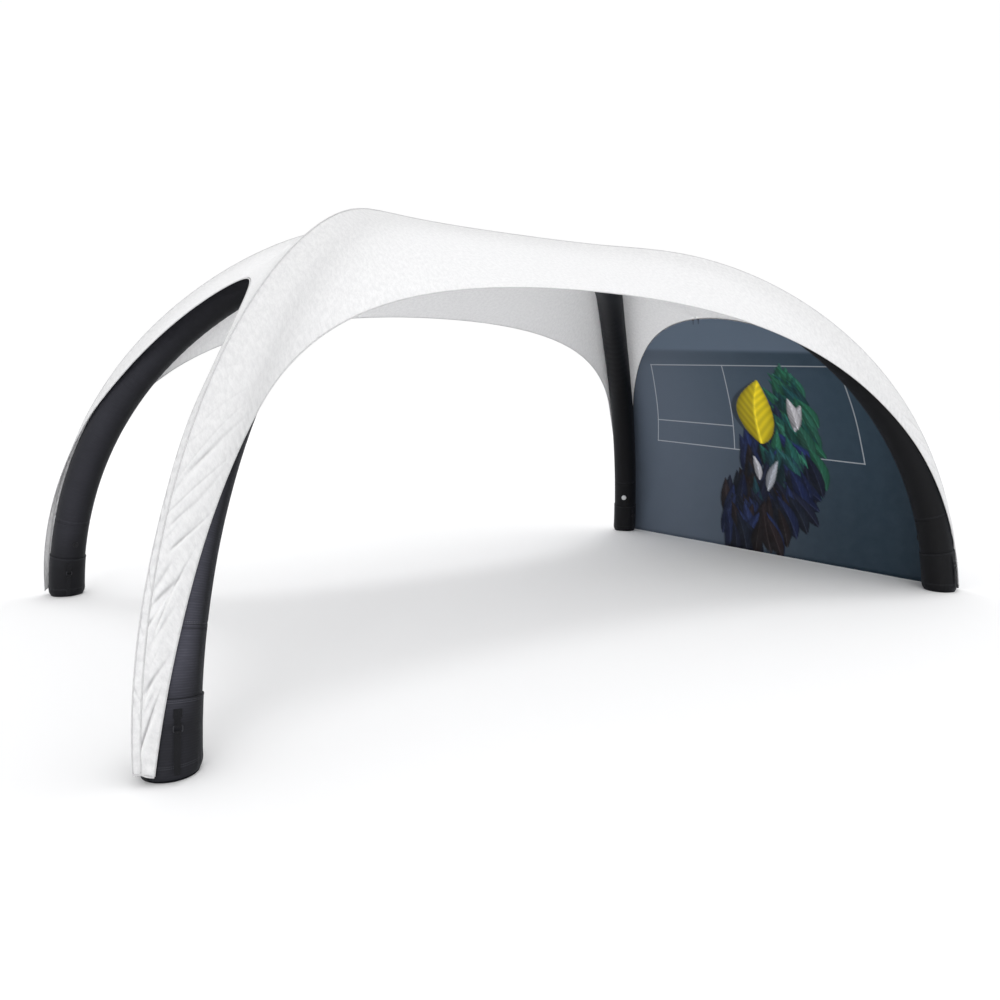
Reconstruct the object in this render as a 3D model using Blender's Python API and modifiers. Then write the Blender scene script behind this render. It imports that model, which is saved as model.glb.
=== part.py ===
"""Inflatable event tent: two air arches that lean together, a stretch canopy and one zipped wall.

Metres, +Z up. The origin is on the ground under the crown, +X to the right and +Y to the back.
Each quarter of the tent is a mirror image of the others, so curves are given for the +X +Y quarter.
"""

import math

import bmesh
import bpy
import numpy as np
from mathutils import Matrix, Vector

# Air arches
SLEEVE_R = 0.1185
SLEEVE_WALL = 0.0016
BLADDER_R = 0.1100
BLADDER_WALL = 0.0014
ARCH_SIDES = 12
BLADDER_SIDES = 8
LEG_STEPS = 9
LEG_HANDLES = (
    (2.88, 1.83, 0.0),
    (2.81, 1.67, 2.45),
    (0.72, 0.31, 2.57),
    (1.84, 0.123, 2.525),
    (0.0, 0.123, 2.525),
)
FOOT = Vector(LEG_HANDLES[0])
CROWN = Vector(LEG_HANDLES[-1])
SLEEVE_FOOT_Z = 0.010
BLADDER_FOOT_Z = 0.016
STUB = 0.03

# Feet
PAD_R = 0.1215
PAD_T = 0.004
BOOT_R = 0.1225
BOOT_WALL = 0.0016
BOOT_TOP = 0.31

# Canopy: Bezier handles of the arched edges over the front and the side openings
FRONT_EDGE = (
    (2.955, 1.93, 0.035),
    (2.71, 1.855, 1.42),
    (2.23, 1.37, 1.74),
    (1.80, 1.02, 2.18),
    (0.0, 1.02, 2.18),
)
SIDE_EDGE = (
    (3.02, 1.87, 0.035),
    (3.04, 1.90, 0.99),
    (2.53, 1.45, 1.79),
    (2.01, 0.79, 2.21),
    (2.01, 0.0, 2.21),
)
CANOPY_T = 0.002
CANOPY_CLEAR = 0.026
RIDGE_GAP_FOOT = 0.028
RIDGE_GAP_TOP = 0.040
PIPING_R = 0.004
HEM_R = 0.004
SEAM_GAP = 0.0095
TIP_Z = 0.035
PANEL_ROWS = (0.0, 0.08, 0.16, 0.26, 0.38, 0.6, 0.8, 1.0)
MIDDLE_LINE = ((2.008, 0.0, 2.207), (1.15, 0.0, 2.60), (0.0, 0.0, 2.672))
WAIST_GAP = 0.004

# Wall and its zip
ZIP_INSET = 0.009
ZIP_R = 0.003
WALL_INSET = 0.0135
WALL_T = 0.002
WALL_BOTTOM = 0.014
WALL_TOP_SHARE = 0.9
WALL_COLUMNS = 6
SLIDER = Vector((0.022, 0.009, 0.008))
SLIDER_Y = 0.030
SLIDER_LIFT = 0.0052
PULLER = Vector((0.009, 0.034, 0.0024))

# Crown
CROWN_HALF_LENGTH = 0.19
CROWN_WRAP = math.radians(125)
CROWN_SLEEVE_R = 0.1235
COUPLER_BORE = 0.012
COUPLER_NECK = 0.018
COUPLER_FLANGE = 0.032
COUPLER_FLANGE_DEPTH = 0.019

# Valves, on the inner side of a leg
VALVE_Z = 0.42
KNEE_Z = 0.56
VALVE_BEARING = math.radians(221.0)
RELIEF_BEARING = math.radians(255.0)
VALVE_NECK = 0.018
RELIEF_NECK = 0.014
VALVE_FLANGE_DEPTH = 0.016
HOLE_CLEARANCE = 0.002

# Anchor straps, on the front side of every leg
WEB_W = 0.030
WEB_T = 0.0016
LOOP_TOP_Z = 0.262
PIVOT_Z = 0.214
PIVOT_OUT = 0.0105
BUCKLE_DROP = 0.024
WIRE_R = 0.0022
EYE_R = 0.0042
TAIL_END_Z = 0.022

LATHE_STEPS = 12

SIGNS = {
    "front_left": (-1, -1),
    "front_right": (1, -1),
    "back_left": (-1, 1),
    "back_right": (1, 1),
}


# Scene and materials


def clear_scene():
    for old in list(bpy.data.objects):
        bpy.data.objects.remove(old, do_unlink=True)


def new_collection(name):
    made = bpy.data.collections.new(name)
    bpy.context.scene.collection.children.link(made)
    return made


def material(name, colour, roughness, metallic=0.0):
    made = bpy.data.materials.new(name)
    made.use_nodes = True
    shader = made.node_tree.nodes["Principled BSDF"]
    shader.inputs["Base Color"].default_value = (*colour, 1.0)
    shader.inputs["Roughness"].default_value = roughness
    shader.inputs["Metallic"].default_value = metallic
    return made


clear_scene()
TENT = new_collection("inflatable_event_tent")
CUTTERS = new_collection("cutters")

SLEEVE_BLACK = material("sleeve_fabric", (0.014, 0.015, 0.018), 0.62)
BLADDER_CLEAR = material("bladder_film", (0.55, 0.57, 0.58), 0.35)
CANOPY_WHITE = material("canopy_fabric", (0.86, 0.86, 0.86), 0.7)
WALL_PRINT = material("printed_fabric", (0.085, 0.115, 0.15), 0.7)
WEB_BLACK = material("webbing", (0.01, 0.01, 0.012), 0.75)
VALVE_GREY = material("valve_plastic", (0.45, 0.46, 0.47), 0.4)
STEEL = material("buckle_steel", (0.6, 0.6, 0.62), 0.28, 1.0)
PAD_BLACK = material("foot_vinyl", (0.012, 0.012, 0.013), 0.5)


def place(obj, mat, collection=TENT):
    obj.data.materials.clear()
    obj.data.materials.append(mat)
    collection.objects.link(obj)
    return obj


def mesh_object(name, verts, faces, mat, collection=TENT):
    mesh = bpy.data.meshes.new(name)
    mesh.from_pydata([tuple(v) for v in verts], [], faces)
    mesh.update()
    mesh.shade_smooth()
    mesh.set_sharp_from_angle(angle=math.radians(40))
    return place(bpy.data.objects.new(name, mesh), mat, collection)


def empty(name, location):
    made = bpy.data.objects.new(name, None)
    made.location = location
    TENT.objects.link(made)
    return made


def hang_on(obj, parent):
    """Parents obj to an empty that stands on its joint's axis, without moving it."""
    bpy.context.view_layer.update()
    obj.parent = parent
    obj.matrix_parent_inverse = parent.matrix_world.inverted()


# Curves


def bezier(handles, t):
    degree = len(handles) - 1
    weights = [
        math.comb(degree, k) * t**k * (1 - t) ** (degree - k) for k in range(degree + 1)
    ]
    return np.array(weights) @ np.array(handles)


def bend_steps(handles, start, end, count, fine=400):
    """Parameters that cut a Bezier curve finely where it bends and coarsely where it runs straight."""
    ts = np.linspace(start, end, fine)
    runs = np.diff(np.array([bezier(handles, t) for t in ts]), axis=0)
    lengths = np.linalg.norm(runs, axis=1)
    heading = runs / lengths[:, None]
    turns = np.arccos(np.clip((heading[1:] * heading[:-1]).sum(axis=1), -1, 1))
    shares = lengths / lengths.sum()
    shares[1:] += turns / turns.sum()
    marks = np.concatenate([[0], np.cumsum(shares)])
    return np.interp(np.linspace(0, marks[-1], count + 1), marks, ts)


def arc_shares(points):
    """How far along a run of points each of them is, from 0 to 1."""
    lengths = np.linalg.norm(np.diff(np.array(points), axis=0), axis=1)
    return np.concatenate([[0], np.cumsum(lengths)]) / lengths.sum()


def points_at(handles, shares, fine=400):
    """Points of a Bezier curve at shares of its length."""
    ts = np.linspace(0, 1, fine)
    marks = arc_shares([bezier(handles, t) for t in ts])
    return [bezier(handles, t) for t in np.interp(shares, marks, ts)]


LEG_AXIS = np.array([bezier(LEG_HANDLES, t) for t in np.linspace(0, 1, 300)])
BOOT_T, KNEE_T = np.interp((BOOT_TOP, KNEE_Z), LEG_AXIS[:150, 2], np.linspace(0, 1, 300)[:150])
CROWN_T = float(np.interp(-CROWN_HALF_LENGTH - 0.01, -LEG_AXIS[150:, 0], np.linspace(0, 1, 300)[150:]))
LEG_TS = [0.0, BOOT_T, *bend_steps(LEG_HANDLES, KNEE_T, CROWN_T, LEG_STEPS), 1.0]
CLEAR_R = SLEEVE_R + CANOPY_CLEAR
PANEL_R = CLEAR_R - 0.001
ACROSS = np.array((-FOOT.y, FOOT.x, 0.0)) / math.hypot(FOOT.x, FOOT.y)


def leg_frame(t):
    """Centre, tangent, sideways direction and outward direction of a leg at t."""
    step = 1e-4
    low, high = bezier(LEG_HANDLES, max(t - step, 0)), bezier(LEG_HANDLES, min(t + step, 1))
    tangent = (high - low) / np.linalg.norm(high - low)
    side = ACROSS - ACROSS.dot(tangent) * tangent
    side /= np.linalg.norm(side)
    return bezier(LEG_HANDLES, t), tangent, side, np.cross(side, tangent)


def leg_t_at_height(z):
    """The leg's parameter at a height near the foot."""
    return float(np.interp(z, LEG_AXIS[:150, 2], np.linspace(0, 1, 300)[:150]))


def square_to_leg(x_sign, y_sign, height, bearing):
    """A point on the leg's axis, its direction there, and a level-headed direction square to it."""
    centre, tangent, _, _ = leg_frame(leg_t_at_height(height))
    scale = np.array((x_sign, y_sign, 1))
    centre, tangent = Vector(centre * scale), Vector(tangent * scale)
    outward = Vector((math.cos(bearing), math.sin(bearing), 0))
    outward -= outward.dot(tangent) * tangent
    return centre, tangent, outward.normalized()


def smooth(x):
    x = min(max(x, 0.0), 1.0)
    return x * x * (3 - 2 * x)


def ridge_point(t):
    """Where the canopy's ridge seam stands off a leg."""
    centre, _, _, out = leg_frame(t)
    gap = RIDGE_GAP_FOOT + (RIDGE_GAP_TOP - RIDGE_GAP_FOOT) * smooth(t / 0.3)
    return centre + out * (SLEEVE_R + gap)


def pushed_clear(point, axes, radius):
    """The point moved straight away from any arch axis that it is too near to."""
    for axis in axes:
        gaps = np.linalg.norm(axis - point, axis=1)
        nearest = gaps.argmin()
        if gaps[nearest] < radius:
            point = axis[nearest] + (point - axis[nearest]) * radius / gaps[nearest]
    return point


BOTH_AXES = (LEG_AXIS, LEG_AXIS * (1, -1, 1))


# Shapes


def grid_faces(rows, columns, closed=False):
    faces = []
    for i in range(rows - 1):
        for j in range(columns if closed else columns - 1):
            k = (j + 1) % columns
            faces.append(
                (i * columns + j, i * columns + k, (i + 1) * columns + k, (i + 1) * columns + j)
            )
    return faces


def turned_outward(verts, faces, inside):
    """The faces in the winding whose normals point away from the point inside."""
    total = 0.0
    for face in faces:
        a, b, c = (np.array(verts[face[k]]) for k in (0, 1, 2))
        total += np.dot(np.cross(b - a, c - a), a - np.array(inside))
    return faces if total > 0 else [tuple(reversed(face)) for face in faces]


def solidify(obj, thickness, offset):
    shell = obj.modifiers.new("wall", "SOLIDIFY")
    shell.thickness = thickness
    shell.offset = offset
    shell.use_even_offset = True
    return shell


def mirror(obj, axis):
    halves = obj.modifiers.new("mirror", "MIRROR")
    halves.use_axis = (axis == "X", axis == "Y", False)
    halves.merge_threshold = 0.0001
    halves.use_mirror_merge = True


def ring(centre, side, out, radius, sides=ARCH_SIDES):
    angles = [2 * math.pi * k / sides for k in range(sides)]
    return [centre + radius * (math.cos(a) * side + math.sin(a) * out) for a in angles]


def foot_rings(radius, low, sides=ARCH_SIDES):
    """Two level rings that square off the bottom of a leg."""
    side, out = ACROSS, np.cross(ACROSS, (0, 0, 1.0))
    centres = [np.array((FOOT.x, FOOT.y, z)) for z in (low, low + STUB)]
    return [ring(centre, side, out, radius, sides) for centre in centres]


def arch_tube(name, radius, sides, wall, low, depth_sign, mat, capped):
    """Half an arch as a hollow tube from foot to crown, mirrored across the crown."""
    rings = foot_rings(radius, low, sides)
    for t in LEG_TS[1:]:
        centre, _, side, out = leg_frame(t)
        rings.append(ring(centre, side, out, radius, sides))
    for point in rings[-1]:
        point[0] = 0.0
    verts = [p * (1, depth_sign, 1) for one in rings for p in one]
    faces = wound_outward(verts, grid_faces(len(rings), sides, closed=True), sides)
    if capped:
        faces.append(foot_cap(verts, sides))
    obj = mesh_object(name, verts, faces, mat)
    mirror(obj, "X")
    solidify(obj, wall, -1)
    return obj


def wound_outward(verts, faces, sides):
    """Turns a tube's faces so that their normals point away from its centre line."""
    centre = np.mean(verts[:sides], axis=0)
    a, b, c = (np.array(verts[faces[0][k]]) for k in (0, 1, 2))
    outward = np.dot(np.cross(b - a, c - a), a - centre) > 0
    return faces if outward else [tuple(reversed(face)) for face in faces]


def foot_cap(verts, sides):
    """The face that closes a tube's first ring, facing down."""
    cap = tuple(range(sides))
    a, b, c = (np.array(verts[k]) for k in (0, 1, 2))
    return cap if np.cross(b - a, c - a)[2] < 0 else tuple(reversed(cap))


def wire(name, points, radius, mat, resolution=0, cyclic=False):
    """A round cord or wire through the points."""
    data = bpy.data.curves.new(name, "CURVE")
    data.dimensions = "3D"
    data.bevel_depth = radius
    data.bevel_resolution = resolution
    data.use_fill_caps = not cyclic
    spline = data.splines.new("POLY")
    spline.points.add(len(points) - 1)
    for item, point in zip(spline.points, points):
        item.co = (*point, 1.0)
    spline.use_cyclic_u = cyclic
    return place(bpy.data.objects.new(name, data), mat)


def lathe(name, profile, frame, mat, closed=False, steps=LATHE_STEPS):
    """A turned piece from (radius, height) points that run down its outer side."""
    mesh = bpy.data.meshes.new(name)
    verts = [(r, 0, h) for r, h in profile]
    edges = [(i, i + 1) for i in range(len(verts) - 1)]
    if closed:
        edges.append((len(verts) - 1, 0))
    mesh.from_pydata(verts, edges, [])
    obj = place(bpy.data.objects.new(name, mesh), mat)
    obj.matrix_world = frame
    screw = obj.modifiers.new("turn", "SCREW")
    screw.steps = steps
    screw.render_steps = steps
    screw.use_merge_vertices = True
    screw.merge_threshold = 0.0001
    screw.use_smooth_shade = True
    return obj


def strip(name, path, width, thickness, frame, mat):
    """A piece of webbing: a path of (outward, height) points, swept sideways."""
    verts = []
    for out, height in path:
        verts += [(out, -width / 2, height), (out, width / 2, height)]
    obj = mesh_object(name, verts, grid_faces(len(path), 2), mat)
    obj.matrix_world = frame
    solidify(obj, thickness, 0)
    return obj


def block(name, size, frame, mat, bevel):
    bpy.ops.mesh.primitive_cube_add(size=1)
    obj = bpy.context.active_object
    obj.name = obj.data.name = name
    obj.data.transform(Matrix.Diagonal((*size, 1.0)))
    for other in obj.users_collection:
        other.objects.unlink(obj)
    place(obj, mat)
    obj.matrix_world = frame
    rounding = obj.modifiers.new("edges", "BEVEL")
    rounding.width = bevel
    rounding.segments = 1
    return obj


def cut_round_hole(target, name, frame, radius, depth, sides=12):
    bpy.ops.mesh.primitive_cylinder_add(vertices=sides, radius=radius, depth=depth)
    cutter = bpy.context.active_object
    cutter.name = name
    for other in cutter.users_collection:
        other.objects.unlink(cutter)
    CUTTERS.objects.link(cutter)
    cutter.matrix_world = frame
    cutter.hide_render = True
    cutter.display_type = "WIRE"
    hole = target.modifiers.new(name, "BOOLEAN")
    hole.operation = "DIFFERENCE"
    hole.object = cutter
    hole.solver = "EXACT"


def looking(origin, outward, up=(0, 0, 1)):
    """A frame at origin whose Z points outward and whose X points up as far as it can."""
    z = Vector(outward).normalized()
    x = Vector(up) - Vector(up).dot(z) * z
    x.normalize()
    y = z.cross(x)
    return Matrix.Translation(Vector(origin)) @ Matrix((x, y, z)).transposed().to_4x4()


# Air frame


def valve_frame(x_sign, y_sign, bearing):
    """A frame on the sleeve's surface near a foot, with Z straight out of the leg."""
    turned = math.atan2(math.sin(bearing) * y_sign, math.cos(bearing) * x_sign)
    centre, _, outward = square_to_leg(x_sign, y_sign, VALVE_Z, turned)
    return looking(centre + outward * SLEEVE_R, outward)


def air_arch(end, depth_sign, valve_sign):
    """A sleeve and its bladder, with openings for the crown coupler and both valves."""
    sleeve = arch_tube(
        f"{end}_arch_sleeve",
        SLEEVE_R,
        ARCH_SIDES,
        SLEEVE_WALL,
        SLEEVE_FOOT_Z,
        depth_sign,
        SLEEVE_BLACK,
        capped=False,
    )
    bladder = arch_tube(
        f"{end}_arch_bladder",
        BLADDER_R,
        BLADDER_SIDES,
        BLADDER_WALL,
        BLADDER_FOOT_Z,
        depth_sign,
        BLADDER_CLEAR,
        capped=True,
    )
    crown_frame = looking((0, 0, CROWN.z), (0, 1, 0))
    inflate = valve_frame(valve_sign, depth_sign, VALVE_BEARING)
    relieve = valve_frame(-valve_sign, depth_sign, RELIEF_BEARING)
    holes = (
        ("crown_hole", crown_frame, COUPLER_NECK, 0.06),
        ("valve_hole", inflate, VALVE_NECK, 0.05),
        ("relief_hole", relieve, RELIEF_NECK, 0.05),
    )
    for target, kind in ((sleeve, "sleeve"), (bladder, "bladder")):
        for label, frame, radius, depth in holes:
            name = f"cut_{end}_{kind}_{label}"
            cut_round_hole(target, name, frame, radius + HOLE_CLEARANCE, depth)
    return inflate, relieve


def crown():
    """The sleeve that binds the arches side by side, and the coupler that joins their air."""
    half = []
    for k in range(9):
        angle = CROWN_WRAP * (k / 4 - 1)
        y = CROWN.y + CROWN_SLEEVE_R * math.cos(angle)
        half.append((y, CROWN.z + CROWN_SLEEVE_R * math.sin(angle)))
    outline = half + [(-y, z) for y, z in reversed(half)]
    verts = []
    for x in (-CROWN_HALF_LENGTH, 0.0, CROWN_HALF_LENGTH):
        verts += [(x, y, z) for y, z in outline]
    faces = grid_faces(3, len(outline), closed=True)
    faces = turned_outward(verts, faces, (0, 0, CROWN.z))
    solidify(mesh_object("crown_sleeve", verts, faces, SLEEVE_BLACK), SLEEVE_WALL, 1)

    inner = CROWN.y - BLADDER_R + COUPLER_FLANGE_DEPTH
    flange = inner + 0.003
    profile = (
        (COUPLER_BORE, flange),
        (COUPLER_FLANGE, flange),
        (COUPLER_FLANGE, inner),
        (COUPLER_NECK, inner),
        (COUPLER_NECK, -inner),
        (COUPLER_FLANGE, -inner),
        (COUPLER_FLANGE, -flange),
        (COUPLER_BORE, -flange),
    )
    lathe("crown_air_coupler", profile, looking((0, 0, CROWN.z), (0, 1, 0)), VALVE_GREY, closed=True)


def inflation_valve(end, frame):
    """A flanged body, a sprung poppet that closes its bore, and a hinged cap."""
    flange = BLADDER_R - SLEEVE_R - VALVE_FLANGE_DEPTH
    body = (
        (0.012, 0.008),
        (0.026, 0.008),
        (0.026, 0.0022),
        (VALVE_NECK, 0.0022),
        (VALVE_NECK, flange),
        (0.028, flange),
        (0.028, flange - 0.003),
        (0.008, flange - 0.003),
        (0.008, flange),
        (0.012, flange),
    )
    lathe(f"{end}_valve_body", body, frame, VALVE_GREY, closed=True)
    poppet = (
        (0.0, 0.004),
        (0.004, 0.004),
        (0.004, 0.001),
        (0.0105, 0.001),
        (0.0105, -0.001),
        (0.0, -0.001),
    )
    slide = empty(f"{end}_valve_poppet_axis", frame.to_translation())
    hang_on(lathe(f"{end}_valve_poppet", poppet, frame, VALVE_GREY), slide)
    cap = ((0.0, 0.0135), (0.022, 0.0135), (0.026, 0.0115), (0.026, 0.0085), (0.0, 0.0085))
    hinge = empty(f"{end}_valve_cap_hinge", frame @ Vector((0.029, 0, 0.010)))
    hang_on(lathe(f"{end}_valve_cap", cap, frame, VALVE_GREY), hinge)


def relief_valve(end, frame):
    """A low collar round a sprung plunger, which can be pushed to let air out."""
    flange = BLADDER_R - SLEEVE_R - VALVE_FLANGE_DEPTH
    body = (
        (0.0095, 0.007),
        (0.020, 0.007),
        (0.020, 0.0012),
        (RELIEF_NECK, 0.0012),
        (RELIEF_NECK, flange),
        (0.024, flange),
        (0.024, flange - 0.003),
        (0.0095, flange - 0.003),
    )
    lathe(f"{end}_relief_body", body, frame, VALVE_GREY, closed=True)
    plunger = ((0.0, 0.010), (0.007, 0.010), (0.0085, 0.008), (0.0085, -0.002), (0.0, -0.002))
    slide = empty(f"{end}_relief_plunger_axis", frame.to_translation())
    hang_on(lathe(f"{end}_relief_plunger", plunger, frame, VALVE_GREY), slide)


def foot(corner):
    """A base pad and the boot that covers the bottom of a leg."""
    x_sign, y_sign = SIGNS[corner]
    pad = ((0.0, PAD_T), (PAD_R - 0.001, PAD_T), (PAD_R, PAD_T - 0.001), (PAD_R, 0.0), (0.0, 0.0))
    centre = Matrix.Translation((FOOT.x * x_sign, FOOT.y * y_sign, 0))
    lathe(f"{corner}_base_pad", pad, centre, PAD_BLACK, steps=24)

    top, _, side, out = leg_frame(BOOT_T)
    rings = [*foot_rings(BOOT_R, PAD_T + 0.0005), ring(top, side, out, BOOT_R)]
    verts = [p * (x_sign, y_sign, 1) for one in rings for p in one]
    faces = wound_outward(verts, grid_faces(len(rings), ARCH_SIDES, closed=True), ARCH_SIDES)
    solidify(mesh_object(f"{corner}_boot", verts, faces, PAD_BLACK), BOOT_WALL, -1)


# Canopy


def stepped_in(point, neighbour, run, distance):
    """The point moved towards its neighbour in the sheet, square to the seam that it lies on."""
    step = neighbour - point
    step -= step.dot(run) * run
    return point + step * distance / np.linalg.norm(step)


def runs_of(points):
    """The direction of a run of points at each of them."""
    steps = np.gradient(np.array(points), axis=0)
    return steps / np.linalg.norm(steps, axis=1)[:, None]


def panel(name, edge, middle, axes, scale, inside):
    """A sheet from a ridge seam to an arched edge, and above it to the middle line of the tent."""
    verts = []
    low_runs = runs_of(edge)
    for k, (top, low, run) in enumerate(zip(RIDGE, edge + middle, runs_of(RIDGE))):
        gap = min(SEAM_GAP, 0.3 * float(np.linalg.norm(low - top)))
        start = stepped_in(top, low, run, gap)
        end = stepped_in(low, top, low_runs[k], gap) if k < len(edge) else low
        row = [pushed_clear(start + (end - start) * u, axes, PANEL_R) for u in PANEL_ROWS]
        if middle and k >= len(edge) - 1:
            row[-1][1] = 0.0
        verts += [point * scale for point in row]
    faces = grid_faces(len(RIDGE), len(PANEL_ROWS))
    faces = turned_outward(verts, faces, inside)
    return mesh_object(name, verts, faces, CANOPY_WHITE)


def edge_points(handles, shares, axes):
    """Points of an arched edge, held clear of the arches and off the ground."""
    points = [pushed_clear(point, axes, CLEAR_R) for point in points_at(handles, shares)]
    return [np.array((p[0], p[1], max(p[2], TIP_Z))) for p in points]


RIDGE = [ridge_point(t) for t in np.maximum(LEG_TS, leg_t_at_height(TIP_Z))]
SHARES = arc_shares(RIDGE)
TURN = int(np.linalg.norm(np.array(RIDGE) - SIDE_EDGE[-1], axis=1).argmin())
FRONT_LINE = edge_points(FRONT_EDGE, SHARES, (LEG_AXIS,))
SIDE_LINE = edge_points(SIDE_EDGE, SHARES[: TURN + 1] / SHARES[TURN], BOTH_AXES)
MIDDLE = points_at(MIDDLE_LINE, (SHARES[TURN + 1 :] - SHARES[TURN]) / (1 - SHARES[TURN]))


def mirrored(points, axis):
    """A half curve and its mirror image as one run of points, which share the middle one."""
    flip = np.array((-1, 1, 1) if axis == "X" else (1, -1, 1))
    return list(points) + [p * flip for p in reversed(points[:-1])]


def canopy():
    """Four panels, the two ridge seams between them, and a hem on every arched edge."""
    for end, y_sign in (("front", -1), ("back", 1)):
        scale = np.array((1, y_sign, 1))
        inside = (0, y_sign * 0.6, 0)
        obj = panel(f"{end}_canopy_panel", FRONT_LINE, [], (LEG_AXIS,), scale, inside)
        mirror(obj, "X")
        solidify(obj, CANOPY_T, 1)
        hem = [p * scale for p in mirrored(FRONT_LINE, "X")]
        wire(f"{end}_canopy_hem", hem, HEM_R, CANOPY_WHITE)
        seam = [p * scale for p in mirrored(RIDGE, "X")]
        wire(f"{end}_ridge_seam", seam, PIPING_R, CANOPY_WHITE)
    for side, x_sign in (("left", -1), ("right", 1)):
        scale = np.array((x_sign, 1, 1))
        inside = (x_sign * 1.2, 0, 0)
        obj = panel(f"{side}_canopy_panel", SIDE_LINE, MIDDLE, BOTH_AXES, scale, inside)
        for vert in obj.data.vertices:
            vert.co.x = x_sign * max(abs(vert.co.x), WAIST_GAP)
        mirror(obj, "Y")
        solidify(obj, CANOPY_T, 1)
        hem = [p * scale for p in mirrored(SIDE_LINE, "Y")]
        wire(f"{side}_canopy_hem", hem, HEM_R, CANOPY_WHITE)


def tip_loop(corner):
    """A short elastic loop that pulls a canopy tip down beside the boot."""
    x_sign, y_sign = SIGNS[corner]
    bearing = math.atan2(0.536 * y_sign, 0.844 * x_sign)
    outward = Vector((math.cos(bearing), math.sin(bearing), 0))
    frame = along_leg(Vector((FOOT.x * x_sign, FOOT.y * y_sign, 0)), outward, Vector((0, 0, 1)))
    out = BOOT_R + 0.004
    path = ((out, 0.003), (out, 0.016), (out, 0.029))
    strip(f"{corner}_tip_loop", path, 0.014, WEB_T, frame, WEB_BLACK)


def along_leg(origin, outward, tangent):
    """A frame at origin whose X points outward and whose Z runs up the leg."""
    axes = Matrix((outward, tangent.cross(outward), tangent)).transposed()
    return Matrix.Translation(origin) @ axes.to_4x4()


# Wall


def inset_line(inset):
    """The side opening's edge, moved into the opening by a distance."""
    line = []
    for point, run in zip(SIDE_LINE, runs_of(SIDE_LINE)):
        across = run[1:] / np.linalg.norm(run[1:])
        line.append(point + inset * np.array((0.0, -across[1], across[0])))
    line[-1][1] = 0.0
    return line


def wall():
    """The printed wall, its zip and hem, and the two sliders that meet at the top of the arch."""
    line = inset_line(WALL_INSET)
    line[0][2] = WALL_BOTTOM
    line[-1] = line[-2] + (line[-1] - line[-2]) * WALL_TOP_SHARE
    shares = [2 * k / WALL_COLUMNS - 1 for k in range(WALL_COLUMNS + 1)]
    verts = [(x, y * share, z) for x, y, z in line for share in shares]
    faces = turned_outward(verts, grid_faces(len(line), WALL_COLUMNS + 1), (0, 0, 1))
    solidify(mesh_object("wall_panel", verts, faces, WALL_PRINT), WALL_T, 0)
    zip_line = inset_line(ZIP_INSET)
    wire("wall_zip", mirrored(zip_line, "Y"), ZIP_R, WEB_BLACK)
    x, y, _ = line[0]
    ends = [(x, sign * y, WALL_BOTTOM - HEM_R - WALL_T) for sign in (-1, 1)]
    wire("wall_bottom_hem", ends, HEM_R, WALL_PRINT)

    slope = Vector(line[-2]) - Vector(line[-1])
    slope.y = 0.0
    slope.normalize()
    normal = slope.cross(Vector((0, -1, 0)))
    for label, sign in (("front", -1), ("back", 1)):
        seat = Vector(zip_line[-1]) + Vector((0, sign * SLIDER_Y, 0))
        frame = looking(seat, normal, up=(0, 1, 0))
        middle = frame @ Matrix.Translation((0, 0, SLIDER_LIFT + SLIDER.z / 2))
        block(f"{label}_zip_slider", SLIDER, middle, STEEL, 0.0015)
        pivot = middle.to_translation() + slope * (SLIDER.y / 2 + 0.0024)
        hinge = empty(f"{label}_zip_puller_hinge", pivot)
        centre = pivot - Vector((0, 0, PULLER.y / 2 - 0.0012))
        hang = looking(centre, (-1, 0, 0), up=(0, 1, 0))
        hang_on(block(f"{label}_zip_puller", PULLER, hang, STEEL, 0.0005), hinge)


# Anchor straps


def eye(centre, radius, start, sweep, count=9):
    """Points on a turn of webbing round a bar, in (outward, height)."""
    angles = [math.radians(start + sweep * k / (count - 1)) for k in range(count)]
    return [
        (centre[0] + radius * math.cos(a), centre[1] + radius * math.sin(a)) for a in angles
    ]


def anchor_strap(corner):
    """A sewn loop on the boot, a wire buckle that swings in it, and a loose tail of webbing."""
    x_sign, y_sign = SIGNS[corner]
    centre, tangent, outward = square_to_leg(x_sign, y_sign, PIVOT_Z, math.radians(-90))
    frame = along_leg(centre - tangent * PIVOT_Z / tangent.z, outward, tangent)
    skin = BOOT_R + 0.0026
    pivot = (skin + PIVOT_OUT, PIVOT_Z)
    low = (pivot[0], PIVOT_Z - BUCKLE_DROP)
    loop = [(skin, LOOP_TOP_Z), (skin, PIVOT_Z + 0.016)] + eye(pivot, EYE_R, 150, 290)
    strip(f"{corner}_strap_loop", loop, WEB_W, WEB_T, frame, WEB_BLACK)

    hinge = empty(f"{corner}_buckle_hinge", frame @ Vector((pivot[0], 0, pivot[1])))
    half = WEB_W / 2 + 0.005
    corners = ((-half, 0.0), (half, 0.0), (half, -BUCKLE_DROP), (-half, -BUCKLE_DROP))
    points = [frame @ Vector((pivot[0], y, pivot[1] + z)) for y, z in corners]
    hang_on(wire(f"{corner}_buckle", points, WIRE_R, STEEL, resolution=1, cyclic=True), hinge)

    tail = eye(low, EYE_R, -60, 290) + [(skin + 0.004, 0.15), (skin + 0.005, 0.09)]
    tail += [(skin + 0.010, 0.05), (skin + 0.018, TAIL_END_Z)]
    hang_on(strip(f"{corner}_strap_tail", tail, WEB_W, WEB_T, frame, WEB_BLACK), hinge)


def main():
    front = air_arch("front", -1, -1)
    back = air_arch("back", 1, 1)
    for end, (inflate, relieve) in (("front", front), ("back", back)):
        inflation_valve(end, inflate)
        relief_valve(end, relieve)
    crown()
    canopy()
    wall()
    for corner in SIGNS:
        foot(corner)
        tip_loop(corner)
        anchor_strap(corner)


main()
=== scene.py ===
"""Dresses the inflatable event tent's CAD frame in cloth, print, webbing and fittings, and lights it.

Everything is in metres in the CAD's own frame. The curves of the arches and of the canopy's edges
are the ones that the CAD solids are built on, and every piece rides on the body of the solid it replaces.
"""

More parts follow.
